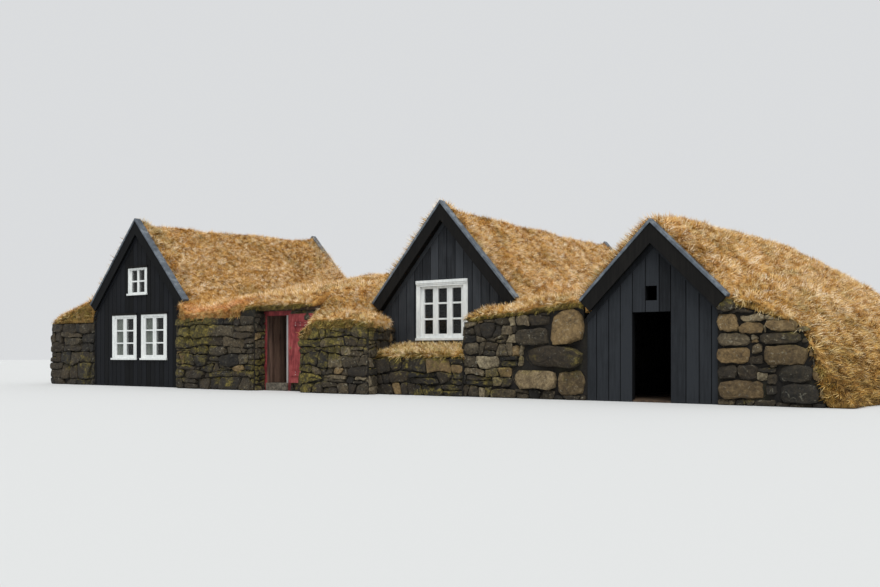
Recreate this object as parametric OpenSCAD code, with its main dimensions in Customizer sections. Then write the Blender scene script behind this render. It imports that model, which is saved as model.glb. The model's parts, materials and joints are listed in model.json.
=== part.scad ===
// Turf farmhouse: three boarded gables joined by stone and turf walls under one cover of turf.
// Sizes are millimetres. X runs along the fronts, Y runs back into the house, Z is up.
// X = 0 is the ridge of the middle house, Y = 0 the front of the outer gables, Z = 0 the ground.

/* [Left house] */
// Distance from the middle ridge out to the left ridge
left_out = 10210; // [9900:10:10500]
// Half width of the roof, ridge to eave tip
left_half_w = 2185; // [2100:5:2300]
// Height of the eave tips
left_eave_z = 2480; // [2350:10:2600]
// Height of the front apex
left_apex_z = 4950; // [4700:10:5200]
// Length from front gable to rear gable
left_len = 7600; // [7000:50:8200]
// Rise of the ridge from front to rear
left_rise = 310; // [0:10:400]
// Roof overhang in front of the gable
left_overhang = 110; // [90:5:200]
// Height of the floor
left_floor_z = 300; // [150:10:350]

/* [Left windows] */
// Ridge line to the centre of the left ground floor window
left_win_a = 626; // [610:1:700]
// Ridge line to the centre of the right ground floor window
left_win_b = 752; // [620:1:760]
// Width of a ground floor window over its frame
left_win_w = 1160; // [1000:10:1180]
// Underside of the ground floor windows
left_win_z = 804; // [750:2:900]
// Height of the ground floor windows
left_win_h = 1356; // [1200:2:1400]
// Width of their casings
left_win_casing = 100; // [80:5:110]
// Width of their sashes' stiles
left_win_stile = 73; // [55:1:80]
// Width of the post between their sashes
left_win_post = 153; // [130:1:160]
// Distance from their upper edge to the glass
left_win_head = 150; // [140:5:160]
// Distance from their lower edge to the glass
left_win_foot = 127; // [110:1:140]
// Width of the loft window
loft_win_w = 877; // [700:1:950]
// Underside of the loft window
loft_win_z = 2721; // [2650:1:2800]
// Height of the loft window
loft_win_h = 831; // [700:1:880]
// Width of its casing
loft_win_casing = 80; // [70:5:90]
// Width of its sashes' stiles
loft_win_stile = 62; // [50:1:70]
// Width of the post between its sashes
loft_win_post = 84; // [70:1:100]
// Distance from its upper edge to the glass
loft_win_head = 108; // [100:1:120]
// Distance from its lower edge to the glass
loft_win_foot = 70; // [60:1:90]
// How far the sashes of the left house stand behind their casings
left_set_back = 25; // [15:1:35]

/* [Middle house] */
// Distance of the middle gable behind the outer gables
middle_back = 1200; // [1000:10:1400]
// Half width of the roof, ridge to eave tip
middle_half_w = 2090; // [2000:5:2200]
// Height of the eave tips
middle_eave_z = 2230; // [2150:10:2350]
// Height of the front apex
middle_apex_z = 4640; // [4400:10:4800]
// Rise of the ridge from front to rear
middle_rise = 0; // [0:10:200]
// Roof overhang in front of the gable
middle_overhang = 250; // [120:5:300]
// Height of the floor
middle_floor_z = 300; // [150:10:400]
// Width of the window over its frame
middle_win_w = 1519; // [1300:1:1600]
// Distance of the window's centre left of the ridge line
middle_win_left = 113; // [0:1:150]
// Underside of the window
middle_win_z = 1309; // [1250:1:1350]
// Height of the window
middle_win_h = 1435; // [1300:1:1500]
// Width of its casing
middle_win_casing = 125; // [110:5:140]
// Width of its sashes' stiles
middle_win_stile = 90; // [70:5:100]
// Width of the posts between its sashes
middle_win_post = 155; // [130:5:170]
// Distance from its upper edge to the glass
middle_win_head = 185; // [170:5:200]
// Distance from its lower edge to the glass
middle_win_foot = 141; // [120:1:160]
// How far its sashes stand behind the casing
middle_set_back = 50; // [15:1:55]

/* [Rear] */
// Depth of the common rear of the middle and the right house
rear_line = 10400; // [9800:50:10600]

/* [Right house] */
// Distance from the middle ridge out to the right ridge
right_out = 5730; // [5500:10:6000]
// Half width of the roof, ridge to eave tip
right_half_w = 1500; // [1450:5:1600]
// Height of the eave tips
right_eave_z = 2040; // [2000:10:2120]
// Height of the front apex
right_apex_z = 3560; // [3450:10:3700]
// Rise of the ridge from front to rear
right_rise = 300; // [0:10:350]
// Roof overhang in front of the gable
right_overhang = 220; // [120:5:260]
// Height of the floor
right_floor_z = 40; // [20:5:60]
// Width of the open doorway
doorway_w = 781; // [700:1:850]
// Height of the open doorway
doorway_h = 1777; // [1700:1:1800]
// Distance of the doorway's and the vent's centre left of the ridge line
doorway_left = 48; // [0:1:80]
// Width of the vent hole
vent_w = 230; // [120:5:260]
// Height of the vent hole
vent_h = 285; // [150:5:300]
// Underside of the vent hole
vent_z = 2000; // [1950:10:2050]

/* [Timber] */
// Thickness of a boarded gable
gable_t = 120; // [100:5:160]
// Distance of a room's side face inside the eave tip
room_in = 235; // [200:5:300]
// Distance of a gable's edge inside the eave tip
gable_in = 85; // [60:5:120]
// Upright thickness of the roof boards
deck_v = 100; // [80:5:120]
// Thickness of a barge board
barge_t = 35; // [25:1:45]
// Upright height of a barge board
barge_v = 400; // [340:5:450]
// Upright thickness of a cap board
cap_v = 50; // [40:2:70]
// Width of a cap board, front to back
cap_w = 130; // [110:5:160]
// How far a cap board stands in front of its barge board
cap_out = 20; // [10:1:30]
// Depth of a window frame
win_deep = 110; // [95:1:125]
// How far a window frame stands proud of the boards
win_proud = 25; // [15:1:30]
// Thickness of the glass
glass_t = 6; // [4:1:8]
// Distance of the glass behind the face of its sash
glass_back = 26; // [20:1:30]
// How far a window sill stands proud of the boards
sill_proud = 70; // [50:1:90]
// How far the drip board over a window stands proud of the boards
drip_proud = 50; // [40:1:60]
// Height of a window sill and of a drip board
sill_h = 55; // [40:1:70]

/* [Red door] */
// Distance from the middle ridge out to the door's centre line
door_out = 4555; // [4500:5:4600]
// Width of the frame over its jambs
frame_w = 996; // [960:2:1020]
// Height of the frame's top at its front
frame_top_z = 2080; // [2020:5:2120]
// Face width of the jambs and the head
jamb_w = 118; // [90:1:130]
// Depth of the frame
frame_deep = 200; // [150:5:250]
// Distance of the frame's face behind the outer gables
frame_back = 80; // [70:5:120]
// Height of the threshold stone
threshold_z = 200; // [150:5:230]
// Thickness of the leaf's boards
leaf_t = 35; // [28:1:40]
// Thickness of the ledges and the brace
ledge_t = 25; // [20:1:30]
// Height of a ledge
ledge_h = 130; // [100:5:160]
// Clearance of the closed leaf
leaf_gap = 6; // [5:0.5:10]
// Radius of the hinge pins
pin_r = 8; // [6:0.5:10]
// Wall of a hinge eye round its pin
eye_wall = 6; // [4:0.5:8]

/* [Stone walls] */
// Width of the wall beside the left house, out from its eave
left_wall_w = 2205; // [1800:5:2600]
// Top of the stones beside the left house
left_wall_z = 1930; // [1850:10:1950]
// Top of the stones in front of the passage's left wall
entry_wall_z = 1950; // [1900:10:1980]
// How far that wall stands in front of the outer gables
entry_wall_front = 260; // [200:10:320]
// Top of the stones between the passage and the middle house
west_wall_z = 1900; // [1850:10:1950]
// Left end of the jutting wall, from the middle ridge
porch_left = 3200; // [3190:5:3230]
// Right end of the jutting wall's front, from the middle ridge
porch_right = 1050; // [950:10:1150]
// Right end of the jutting wall at the middle gable, from the middle ridge
porch_rear_right = 1600; // [1500:10:1700]
// How far the jutting wall stands in front of the outer gables
porch_front = 480; // [400:10:600]
// Top of the jutting wall's stones
porch_z = 1650; // [1600:10:1680]
// How far the jutting wall's front left corner falls away
porch_corner = 450; // [300:10:500]
// Right end of the terrace, from the middle ridge
terrace_right = 1310; // [1200:10:1400]
// How far the terrace stands in front of the outer gables
terrace_front = 60; // [40:5:120]
// Top of the terrace stones at the front
terrace_z = 870; // [800:10:900]
// Rise of the terrace from its front to the middle gable
terrace_rise = 240; // [200:10:280]
// Top of the stones at the left end of the wall beside the right house
shared_wall_z = 1660; // [1600:10:1680]
// Top of the stones at its right end
shared_wall_end_z = 1910; // [1850:10:1950]
// Top of the stones behind, where that wall meets the middle house
valley_wall_z = 1770; // [1700:10:1800]
// Top of the right stone wall beside the right house
flank_wall_z = 1890; // [1850:10:1950]
// How far the right stone wall stands in front of the gable
flank_front = 60; // [40:5:80]
// How far it laps over the gable's edge, from the eave tip
flank_lap = 230; // [150:5:250]
// Width of the top of the right stone wall
flank_top_w = 1200; // [1100:10:1300]
// Fall of the top of the right stone wall
flank_fall = 410; // [350:10:450]
// Spread of the right stone wall from its top edge to its foot
flank_spread = 460; // [300:10:550]

/* [Turf] */
// Upright thickness of the turf under the cap boards
turf_v = 250; // [200:5:300]
// Thickness of the turf on the walls
wall_turf = 200; // [150:5:240]
// Thickness of the turf on the terrace
terrace_turf_t = 90; // [70:5:120]
// Clearance between turf and what it lies on or reaches under
seat_gap = 0.3; // [0.2:0.1:0.5]
// How far turf hangs past the stones it lies on
turf_lip = 60; // [30:5:80]
// Radius that rounds a turf ridge
ridge_round = 130; // [60:5:200]
// Height that the right house's turf swells above its cap boards
right_swell = 330; // [200:10:400]
// Reach of the turf bank at the front, from the right ridge
bank_front = 3650; // [3500:10:3900]
// Reach of the turf bank at the rear, from the right ridge
bank_rear = 4900; // [4600:10:5200]

/* [Passage] */
// Rise of the passage roof for each millimetre of depth, up to its crest
entry_slope = 0.15; // [0.12:0.01:0.17]
// Depth of the crest of the passage roof
entry_crest = 5000; // [4800:50:6000]
// Fall of the passage roof for each millimetre of depth, behind its crest
entry_rear_slope = 0.12; // [0.05:0.01:0.2]
// Thickness of the passage's rear wall
entry_rear_t = 700; // [500:10:900]
// Thickness of the passage roof's boards
entry_deck_t = 80; // [60:5:100]
// How far the passage's roof boards reach over its left wall
entry_bearing = 550; // [400:10:700]
// Width of the two doorways from the passage
inner_door_w = 800; // [700:10:900]
// Head height of the two doorways from the passage
inner_door_z = 1800; // [1700:10:1810]
// Front side of the doorway to the left room
left_door_y = 3000; // [2600:50:3400]
// Front side of the doorway to the middle room
middle_door_y = 4200; // [3800:50:4600]

/* [Hidden] */

middle_len = rear_line - middle_back;
right_len = rear_line;

// A house is [ridge x, front y, half width, eave height, apex height, length, rise, overhang].
left = [-left_out, 0, left_half_w, left_eave_z, left_apex_z, left_len, left_rise, left_overhang];
middle = [0, middle_back, middle_half_w, middle_eave_z, middle_apex_z, middle_len, middle_rise,
          middle_overhang];
right = [right_out, 0, right_half_w, right_eave_z, right_apex_z, right_len, right_rise,
         right_overhang];

function ridge_x(h) = h[0];
function front_y(h) = h[1];
function rear_y(h) = h[1] + h[5];
function half_w(h) = h[2];
function left_tip(h) = h[0] - h[2];
function right_tip(h) = h[0] + h[2];
function pitch(h) = (h[4] - h[3]) / h[2];
function climb(h) = h[6] / h[5];
function roof_front(h) = h[1] - h[7];
function roof_rear(h) = h[1] + h[5] + h[7];
function room_half(h) = h[2] - room_in;
function gable_half(h) = h[2] - gable_in;

// Height of a roof plane that lies a given drop below the top of the cap boards
function roof_z(h, x, y, drop) = h[4] - drop - pitch(h) * abs(x - h[0]) + climb(h) * (y - h[1]);

under_deck = turf_v + cap_v + deck_v;
far_z = 9000;
far_y = 20000;
roof_spare = 600;

module span(x0, x1, y0, y1, z0, z1) {
    translate([x0, y0, z0]) cube([x1 - x0, y1 - y0, z1 - z0]);
}

// Everything below the two roof planes of a house, lowered by a drop
module under_roof(h, drop) {
    tilt = atan(climb(h));
    reach = half_w(h) + roof_spare;
    low = (h[4] - drop - pitch(h) * reach) * cos(tilt);
    top = (h[4] - drop) * cos(tilt);
    translate([ridge_x(h), front_y(h), 0]) rotate([tilt, 0, 0])
        translate([0, far_y, 0]) rotate([90, 0, 0]) linear_extrude(2 * far_y)
            polygon([[-reach, -far_z], [reach, -far_z], [reach, low], [0, top], [-reach, low]]);
}

// Everything past the tips of a roof, which is cut off square to its slopes
module past_tips(h) {
    tilt = atan(climb(h));
    fall = atan(pitch(h) * cos(tilt));
    tip_z = (h[4] - pitch(h) * half_w(h)) * cos(tilt);
    translate([ridge_x(h), front_y(h), 0]) rotate([tilt, 0, 0])
        translate([0, far_y, 0]) rotate([90, 0, 0]) linear_extrude(2 * far_y)
            for (side = [0, 1]) mirror([side, 0]) translate([half_w(h), tip_z]) rotate(-fall)
                translate([0, -2 * roof_spare]) square([2 * roof_spare, 3 * roof_spare]);
}

// A band of roof between two drops and two depths
module roof_band(h, upper, lower, y0, y1) {
    intersection() {
        span(left_tip(h), right_tip(h), y0, y1, 0, far_z);
        difference() {
            under_roof(h, upper);
            under_roof(h, lower);
            past_tips(h);
        }
    }
}

// Cuts what lies over the front and the rear overhang square at the tips as well
module square_overhangs(h) {
    difference() {
        children();
        intersection() {
            past_tips(h);
            union() {
                span(left_tip(h) - 1, right_tip(h) + 1, roof_front(h) - 1, front_y(h), 0, far_z);
                span(left_tip(h) - 1, right_tip(h) + 1, rear_y(h), roof_rear(h) + 1, 0, far_z);
            }
        }
    }
}

module roof_boards(h) {
    roof_band(h, turf_v + cap_v, under_deck, roof_front(h) + barge_t, roof_rear(h) - barge_t);
}

module barge_boards(h) {
    for (y = [roof_front(h), roof_rear(h) - barge_t])
        roof_band(h, cap_v, cap_v + barge_v, y, y + barge_t);
}

module cap_boards(h) {
    roof_band(h, 0, cap_v, roof_front(h) - cap_out, roof_front(h) - cap_out + cap_w);
    roof_band(h, 0, cap_v, roof_rear(h) + cap_out - cap_w, roof_rear(h) + cap_out);
}

// A boarded gable under the roof boards, its front or rear face at y0
module gable(h, y0) {
    intersection() {
        span(ridge_x(h) - gable_half(h), ridge_x(h) + gable_half(h), y0, y0 + gable_t, 0, far_z);
        under_roof(h, under_deck);
    }
}

module rear_gable(h) {
    gable(h, rear_y(h) - gable_t);
}

// A window is [centre x, gable's y, underside, width, height, posts, casing, stile, post, head, foot,
// set-back]. Head and foot run from its edge to the glass.
left_ground_style = [1, left_win_casing, left_win_stile, left_win_post, left_win_head, left_win_foot,
                     left_set_back];
left_windows = [
    concat([-left_out - left_win_a, 0, left_win_z, left_win_w, left_win_h], left_ground_style),
    concat([-left_out + left_win_b, 0, left_win_z, left_win_w, left_win_h], left_ground_style),
    [-left_out, 0, loft_win_z, loft_win_w, loft_win_h, 1, loft_win_casing, loft_win_stile, loft_win_post,
     loft_win_head, loft_win_foot, left_set_back]
];
middle_window = [-middle_win_left, middle_back, middle_win_z, middle_win_w, middle_win_h, 2,
                 middle_win_casing, middle_win_stile, middle_win_post, middle_win_head, middle_win_foot,
                 middle_set_back];

// Clearance of a window frame in its hole
frame_fit = 1;
// How far a sill and a drip board reach past the frame at each side
sill_side = 20;

function win_x0(win) = win[0] - win[3] / 2;
function win_x1(win) = win[0] + win[3] / 2;
function win_top(win) = win[2] + win[4];
function bay_count(win) = win[5] + 1;
function bay_w(win) = (win[3] - 2 * (win[6] + win[7]) - win[5] * win[8]) / bay_count(win);
function bay_x(win, i) = win_x0(win) + win[6] + win[7] + i * (bay_w(win) + win[8]);
function sash_y(win) = win[1] - win_proud + win[11];

// The hole that a window needs in its gable
module window_hole(win) {
    span(win_x0(win), win_x1(win), win[1] - gable_t, win[1] + 2 * gable_t, win[2], win_top(win));
}

// What fills the sashes, between two depths
module window_bays(win, y0, y1) {
    for (i = [0 : bay_count(win) - 1])
        span(bay_x(win, i), bay_x(win, i) + bay_w(win), y0, y1, win[2] + win[10], win_top(win) - win[9]);
}

// A casing round set-back sashes, with a sill and a drip board
module window_frame(win) {
    face_y = win[1] - win_proud;
    sill_x0 = win_x0(win) - sill_side;
    sill_x1 = win_x1(win) + sill_side;
    difference() {
        union() {
            span(win_x0(win) + frame_fit, win_x1(win) - frame_fit, face_y, face_y + win_deep,
                 win[2] + frame_fit, win_top(win) - frame_fit);
            span(sill_x0, sill_x1, win[1] - sill_proud, win[1],
                 win[2] - sill_h / 3, win[2] + sill_h * 2 / 3);
            span(sill_x0, sill_x1, win[1] - drip_proud, win[1], win_top(win) - sill_h * 2 / 3,
                 win_top(win) + sill_h / 3);
        }
        span(win_x0(win) + win[6], win_x1(win) - win[6], face_y - sill_proud, sash_y(win),
             win[2] + sill_h * 2 / 3, win_top(win) - win[6]);
        window_bays(win, face_y - sill_proud, face_y + 2 * win_deep);
    }
}

// Glass that stands in the sashes, behind where the bars go
module window_glass(win) {
    window_bays(win, sash_y(win) + glass_back, sash_y(win) + glass_back + glass_t);
}

module left_front_gable() {
    color("#20242a") difference() {
        gable(left, 0);
        for (win = left_windows) window_hole(win);
    }
}

module left_window_frames() {
    color("white") for (win = left_windows) window_frame(win);
}

module left_window_glass() {
    color("lightblue", 0.5) for (win = left_windows) window_glass(win);
}

module middle_front_gable() {
    color("#262b33") difference() {
        gable(middle, middle_back);
        window_hole(middle_window);
    }
}

module middle_window_frame() {
    color("white") window_frame(middle_window);
}

module middle_window_glass() {
    color("lightblue", 0.5) window_glass(middle_window);
}

doorway_x0 = right_out - doorway_left - doorway_w / 2;
doorway_x1 = doorway_x0 + doorway_w;

module right_gable_left() {
    color("#262b33") intersection() {
        gable(right, 0);
        span(0, doorway_x0, -far_y, far_y, 0, doorway_h);
    }
}

module right_gable_right() {
    color("#262b33") intersection() {
        gable(right, 0);
        span(doorway_x1, far_y, -far_y, far_y, 0, doorway_h);
    }
}

module right_gable_over_door() {
    vent_x0 = right_out - doorway_left - vent_w / 2;
    color("#262b33") difference() {
        intersection() {
            gable(right, 0);
            span(0, far_y, -far_y, far_y, doorway_h, far_z);
        }
        span(vent_x0, vent_x0 + vent_w, -100, gable_t + 100, vent_z, vent_z + vent_h);
    }
}

// The passage between the left and the middle house
door_x = -door_out;
entry_len = rear_y(left);
jamb_left_x = door_x - frame_w / 2;
jamb_right_x = door_x + frame_w / 2;
frame_y = frame_back;
entry_deck_x0 = jamb_left_x - entry_bearing;
entry_deck_x1 = -porch_left;
entry_right_face = frame_back + 20;

// How far the threshold reaches in front of the frame, and the turf over it
step_out = 60;
door_eave = 90;

// Underside of the passage's roof boards, which rise to a crest and fall behind it
function entry_under_z(y) =
    frame_top_z + entry_slope * (min(y, entry_crest) - frame_y)
    - entry_rear_slope * max(0, y - entry_crest);

// A slice from the ground up to the passage roof's underside, lifted or lowered
module entry_wedge(x0, x1, y0, y1, z_lift) {
    crest = y0 < entry_crest && entry_crest < y1 ? [[entry_crest, entry_under_z(entry_crest) + z_lift]] : [];
    translate([x0, 0, 0]) rotate([90, 0, 90]) linear_extrude(x1 - x0)
        polygon(concat([[y0, 0], [y1, 0], [y1, entry_under_z(y1) + z_lift]], crest,
                       [[y0, entry_under_z(y0) + z_lift]]));
}

// Top of the low shoulder of the passage's left wall
shoulder_drop = frame_top_z - entry_wall_z;

module left_inner_wall() {
    difference() {
        union() {
            intersection() {
                span(ridge_x(left) + room_half(left), right_tip(left), 0, rear_y(left), 0, far_z);
                under_roof(left, under_deck);
            }
            entry_wedge(right_tip(left), entry_deck_x0, -entry_wall_front, rear_y(left), -shoulder_drop);
            entry_wedge(ridge_x(left) + gable_half(left), right_tip(left), -entry_wall_front, 0,
                        -shoulder_drop);
            entry_wedge(entry_deck_x0, jamb_left_x, -entry_wall_front, entry_len, 0);
            entry_wedge(entry_deck_x0, jamb_left_x, -entry_wall_front, frame_y, entry_deck_t);
        }
        span(ridge_x(left), ridge_x(left) + gable_half(left), -far_y, gable_t, 0, far_z);
        span(ridge_x(left), ridge_x(left) + gable_half(left), rear_y(left) - gable_t, far_y, 0, far_z);
    }
}

module left_inner_wall_front() {
    color("#5a554c") intersection() {
        left_inner_wall();
        span(-far_y, 0, -far_y, left_door_y, 0, far_z);
    }
}

module left_inner_wall_rear() {
    color("#5a554c") intersection() {
        left_inner_wall();
        span(-far_y, 0, left_door_y + inner_door_w, far_y, 0, far_z);
    }
}

module left_inner_wall_over_door() {
    color("#5a554c") intersection() {
        left_inner_wall();
        span(-far_y, 0, left_door_y, left_door_y + inner_door_w, inner_door_z, far_z);
    }
}

// The passage's right wall, one mass with the middle room's left wall
module entry_right_wall() {
    difference() {
        union() {
            entry_wedge(jamb_right_x, -porch_left, entry_right_face, entry_len, 0);
            span(-porch_left, left_tip(middle), middle_back + gable_t, rear_y(middle), 0, west_wall_z);
            intersection() {
                span(left_tip(middle), ridge_x(middle) - room_half(middle), middle_back + gable_t,
                     rear_y(middle), 0, far_z);
                under_roof(middle, under_deck);
            }
        }
        span(ridge_x(middle) - gable_half(middle), 0, rear_y(middle) - gable_t, far_y, 0, far_z);
    }
}

module entry_right_wall_front() {
    color("#5a554c") intersection() {
        entry_right_wall();
        span(-far_y, 0, -far_y, middle_door_y, 0, far_z);
    }
}

module entry_right_wall_rear() {
    color("#5a554c") intersection() {
        entry_right_wall();
        span(-far_y, 0, middle_door_y + inner_door_w, far_y, 0, far_z);
    }
}

module entry_right_wall_over_door() {
    color("#5a554c") intersection() {
        entry_right_wall();
        span(-far_y, 0, middle_door_y, middle_door_y + inner_door_w, inner_door_z, far_z);
    }
}

module entry_rear_wall() {
    color("#5a554c") entry_wedge(jamb_left_x, jamb_right_x, entry_len - entry_rear_t, entry_len, 0);
}

module entry_roof_boards() {
    color("#6b563e") difference() {
        entry_wedge(entry_deck_x0, entry_deck_x1, frame_y, entry_len, entry_deck_t);
        entry_wedge(entry_deck_x0, entry_deck_x1, frame_y, entry_len, 0);
    }
}

module entry_door_frame() {
    color("#7d2630") difference() {
        entry_wedge(jamb_left_x, jamb_right_x, frame_y, frame_y + frame_deep, 0);
        span(jamb_left_x + jamb_w, jamb_right_x - jamb_w, 0, far_y, -1, frame_top_z - jamb_w);
    }
}

module entry_threshold() {
    color("#6f6a60")
        span(jamb_left_x + jamb_w, jamb_right_x - jamb_w, frame_y - step_out, frame_y + frame_deep,
             0, threshold_z);
}

// The leaf, drawn folded back against the wall, turns about an upright axis in front of the jamb.
// Closed, it laps over the jambs and the head.
hinge_in = 33;
jamb_lap = 35;
head_lap = 25;
leaf_lift = 15;
hinge_x = jamb_right_x - hinge_in;
hinge_y = frame_y - leaf_gap - leaf_t;
leaf_edge = 20;
leaf_w = frame_w - 2 * jamb_w + 2 * jamb_lap;
leaf_z0 = threshold_z + leaf_lift;
leaf_z1 = frame_top_z - jamb_w + head_lap;

// Ledges: inset from the hinge side and from the free side, and their distances from the leaf's ends
ledge_in = 80;
ledge_end = 20;
ledge_up = 180;
ledge_down = 330;
ledge_zs = [leaf_z0 + ledge_up, leaf_z1 - ledge_down];

module entry_door() {
    color("#93303b") {
        translate([hinge_x + leaf_edge, hinge_y - leaf_t, leaf_z0])
            cube([leaf_w, leaf_t, leaf_z1 - leaf_z0]);
        for (z = ledge_zs)
            translate([hinge_x + leaf_edge + ledge_in, hinge_y - leaf_t - ledge_t, z])
                cube([leaf_w - ledge_in - ledge_end, ledge_t, ledge_h]);
        door_brace();
    }
}

// The diagonal brace runs from the hinge side of the upper ledge to the free side of the lower one
module door_brace() {
    x0 = hinge_x + leaf_edge + ledge_in;
    x1 = hinge_x + leaf_edge + leaf_w - ledge_end;
    z_low = ledge_zs[0] + ledge_h;
    z_high = ledge_zs[1];
    translate([0, hinge_y - leaf_t, 0]) rotate([90, 0, 0]) linear_extrude(ledge_t)
        polygon([[x0, z_high], [x0, z_high - ledge_h], [x1 - ledge_h, z_low], [x1, z_low],
                 [x1, z_low + ledge_h / 2], [x0 + ledge_h, z_high]]);
}

hinge_zs = [ledge_zs[0] + ledge_h / 2, ledge_zs[1] + ledge_h / 2];
eye_h = 70;
eye_play = 1;
eye_r = pin_r + eye_play + eye_wall;
strap_t = 5;
strap_len = 260;
strap_in = 10;
pin_foot = 30;
pin_foot_drop = 5;

module entry_door_hinges() {
    color("#3b3530") for (z = hinge_zs) translate([hinge_x, hinge_y, z]) {
        difference() {
            union() {
                translate([0, 0, -eye_h / 2]) cylinder(r = eye_r, h = eye_h, $fn = 48);
                translate([0, 0, -eye_h / 2 + strap_in])
                    cube([leaf_edge + strap_len, strap_t, eye_h - 2 * strap_in]);
            }
            translate([0, 0, -eye_h]) cylinder(r = pin_r + eye_play, h = 2 * eye_h, $fn = 48);
        }
    }
}

module entry_hinge_pins() {
    color("#3b3530") for (z = hinge_zs) translate([hinge_x, hinge_y, z]) {
        translate([0, 0, -eye_h / 2 - pin_foot])
            cylinder(r = pin_r, h = eye_h + pin_foot + strap_in, $fn = 48);
        translate([-pin_r, 0, -eye_h / 2 - pin_foot - pin_foot_drop])
            cube([2 * pin_r, frame_y - hinge_y, pin_foot]);
    }
}

module entry_floor() {
    color("#55483a") {
        span(jamb_left_x, jamb_right_x, frame_y + frame_deep, entry_len - entry_rear_t, 0, threshold_z);
        span(ridge_x(left) + room_half(left), jamb_left_x, left_door_y, left_door_y + inner_door_w,
             0, threshold_z);
        span(jamb_right_x, ridge_x(middle) - room_half(middle), middle_door_y,
             middle_door_y + inner_door_w, 0, threshold_z);
    }
}

module room_floor(h, z) {
    span(ridge_x(h) - room_half(h), ridge_x(h) + room_half(h), front_y(h) + gable_t,
         rear_y(h) - gable_t, 0, z);
}

module left_floor() {
    color("#6b563e") room_floor(left, left_floor_z);
}

module middle_floor() {
    color("#6b563e") room_floor(middle, middle_floor_z);
}

module right_floor() {
    color("#4d473f") {
        room_floor(right, right_floor_z);
        span(doorway_x0, doorway_x1, 0, gable_t, 0, right_floor_z);
    }
}

module left_outer_wall() {
    color("#5a554c") difference() {
        union() {
            span(left_tip(left) - left_wall_w, left_tip(left), 0, rear_y(left), 0, left_wall_z);
            intersection() {
                span(left_tip(left), ridge_x(left) - room_half(left), 0, rear_y(left), 0, far_z);
                under_roof(left, under_deck);
            }
        }
        span(ridge_x(left) - gable_half(left), ridge_x(left), -far_y, gable_t, 0, far_z);
        span(ridge_x(left) - gable_half(left), ridge_x(left), rear_y(left) - gable_t, far_y, 0, far_z);
    }
}

module jutting_plan() {
    polygon([[-porch_left, -porch_front], [-porch_right, -porch_front], [-porch_rear_right, middle_back],
             [-gable_half(middle), middle_back], [-gable_half(middle), middle_back + gable_t],
             [-porch_left, middle_back + gable_t]]);
}

// Height of the slanting cut that takes the wall's front left corner away, its reach along the front
// and back, and the sizes of the body that cuts it
porch_cut_w = 500;
porch_cut_d = 780;
cut_spare = 200;
cut_wide = 1500;
cut_deep = 2000;
cut_high = 3000;
cut_point = 0.01;
function porch_cut_z(x, y) =
    porch_z + porch_corner * ((x + porch_left) / porch_cut_w + (y + porch_front) / porch_cut_d - 1);

module jutting_body(grow) {
    x = -porch_left - cut_spare;
    y = -porch_front - cut_spare;
    difference() {
        linear_extrude(porch_z + grow) offset(delta = grow) jutting_plan();
        translate([0, 0, 2 * grow]) hull() {
            for (p = [[x, y], [x, y + cut_deep], [x + cut_wide, y]]) {
                translate([p[0], p[1], porch_cut_z(p[0], p[1])]) linear_extrude(1) square(cut_point);
                translate([p[0], p[1], porch_cut_z(x, y) + cut_high]) linear_extrude(1) square(cut_point);
            }
        }
    }
}

module jutting_wall() {
    color("#5a554c") jutting_body(0);
}

// The terrace starts against the slanted flank of the jutting wall
module terrace_slice() {
    difference() {
        translate([-porch_rear_right, 0, 0]) rotate([90, 0, 90])
            linear_extrude(porch_rear_right + terrace_right) children();
        translate([0, 0, -1]) linear_extrude(porch_z + 2) jutting_plan();
    }
}

module terrace_wall() {
    color("#5a554c") terrace_slice()
        polygon([[-terrace_front, 0], [middle_back, 0], [middle_back, terrace_z + terrace_rise],
                 [-terrace_front, terrace_z]]);
}

// The grass ledge under the middle window, with a soft front edge
module terrace_turf() {
    r = terrace_turf_t / 2;
    color("#9a8a3c") terrace_slice() translate([0, seat_gap]) {
        union() {
            polygon([[-terrace_front, terrace_z], [middle_back, terrace_z + terrace_rise],
                     [middle_back, terrace_z + terrace_rise + terrace_turf_t],
                     [-terrace_front, terrace_z + terrace_turf_t]]);
            intersection() {
                translate([-terrace_front, terrace_z + r]) circle(r = r, $fn = 24);
                translate([-terrace_front - 2 * r, terrace_z]) square(2 * r);
            }
        }
    }
}

// Stones between the middle and the right house: a block in front, a core behind
module shared_wall() {
    x0 = ridge_x(middle) + room_half(middle);
    x1 = ridge_x(right) - room_half(right);
    color("#5a554c") difference() {
        union() {
            translate([0, middle_back, 0]) rotate([90, 0, 0]) linear_extrude(middle_back)
                polygon([[terrace_right, 0], [left_tip(right), 0], [left_tip(right), shared_wall_end_z],
                         [terrace_right, shared_wall_z]]);
            translate([0, rear_y(middle), 0]) rotate([90, 0, 0]) linear_extrude(middle_len)
                polygon([[right_tip(middle), 0], [left_tip(right), 0], [left_tip(right), shared_wall_end_z],
                         [right_tip(middle), valley_wall_z]]);
            intersection() {
                span(x0, right_tip(middle), middle_back, rear_y(middle), 0, far_z);
                under_roof(middle, under_deck);
            }
            intersection() {
                span(left_tip(right), x1, 0, rear_y(right), 0, far_z);
                under_roof(right, under_deck);
            }
        }
        span(0, gable_half(middle), middle_back, middle_back + gable_t, 0, far_z);
        span(0, gable_half(middle), rear_y(middle) - gable_t, far_y, 0, far_z);
        span(ridge_x(right) - gable_half(right), far_y, -far_y, gable_t, 0, far_z);
        span(ridge_x(right) - gable_half(right), far_y, rear_y(right) - gable_t, far_y, 0, far_z);
    }
}

flank_edge_x = right_tip(right) + flank_top_w;
flank_foot_x = flank_edge_x + flank_spread;
flank_edge_z = flank_wall_z - flank_fall;

// Height of the flank's bend, as a share of the height of its top edge
flank_bend = 0.7;
flank_bend_x = flank_edge_x + flank_spread / 2;
flank_bend_z = flank_edge_z * flank_bend;

// Clearance of the wall under and beside the end of the roof
tip_gap = 1;

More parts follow.
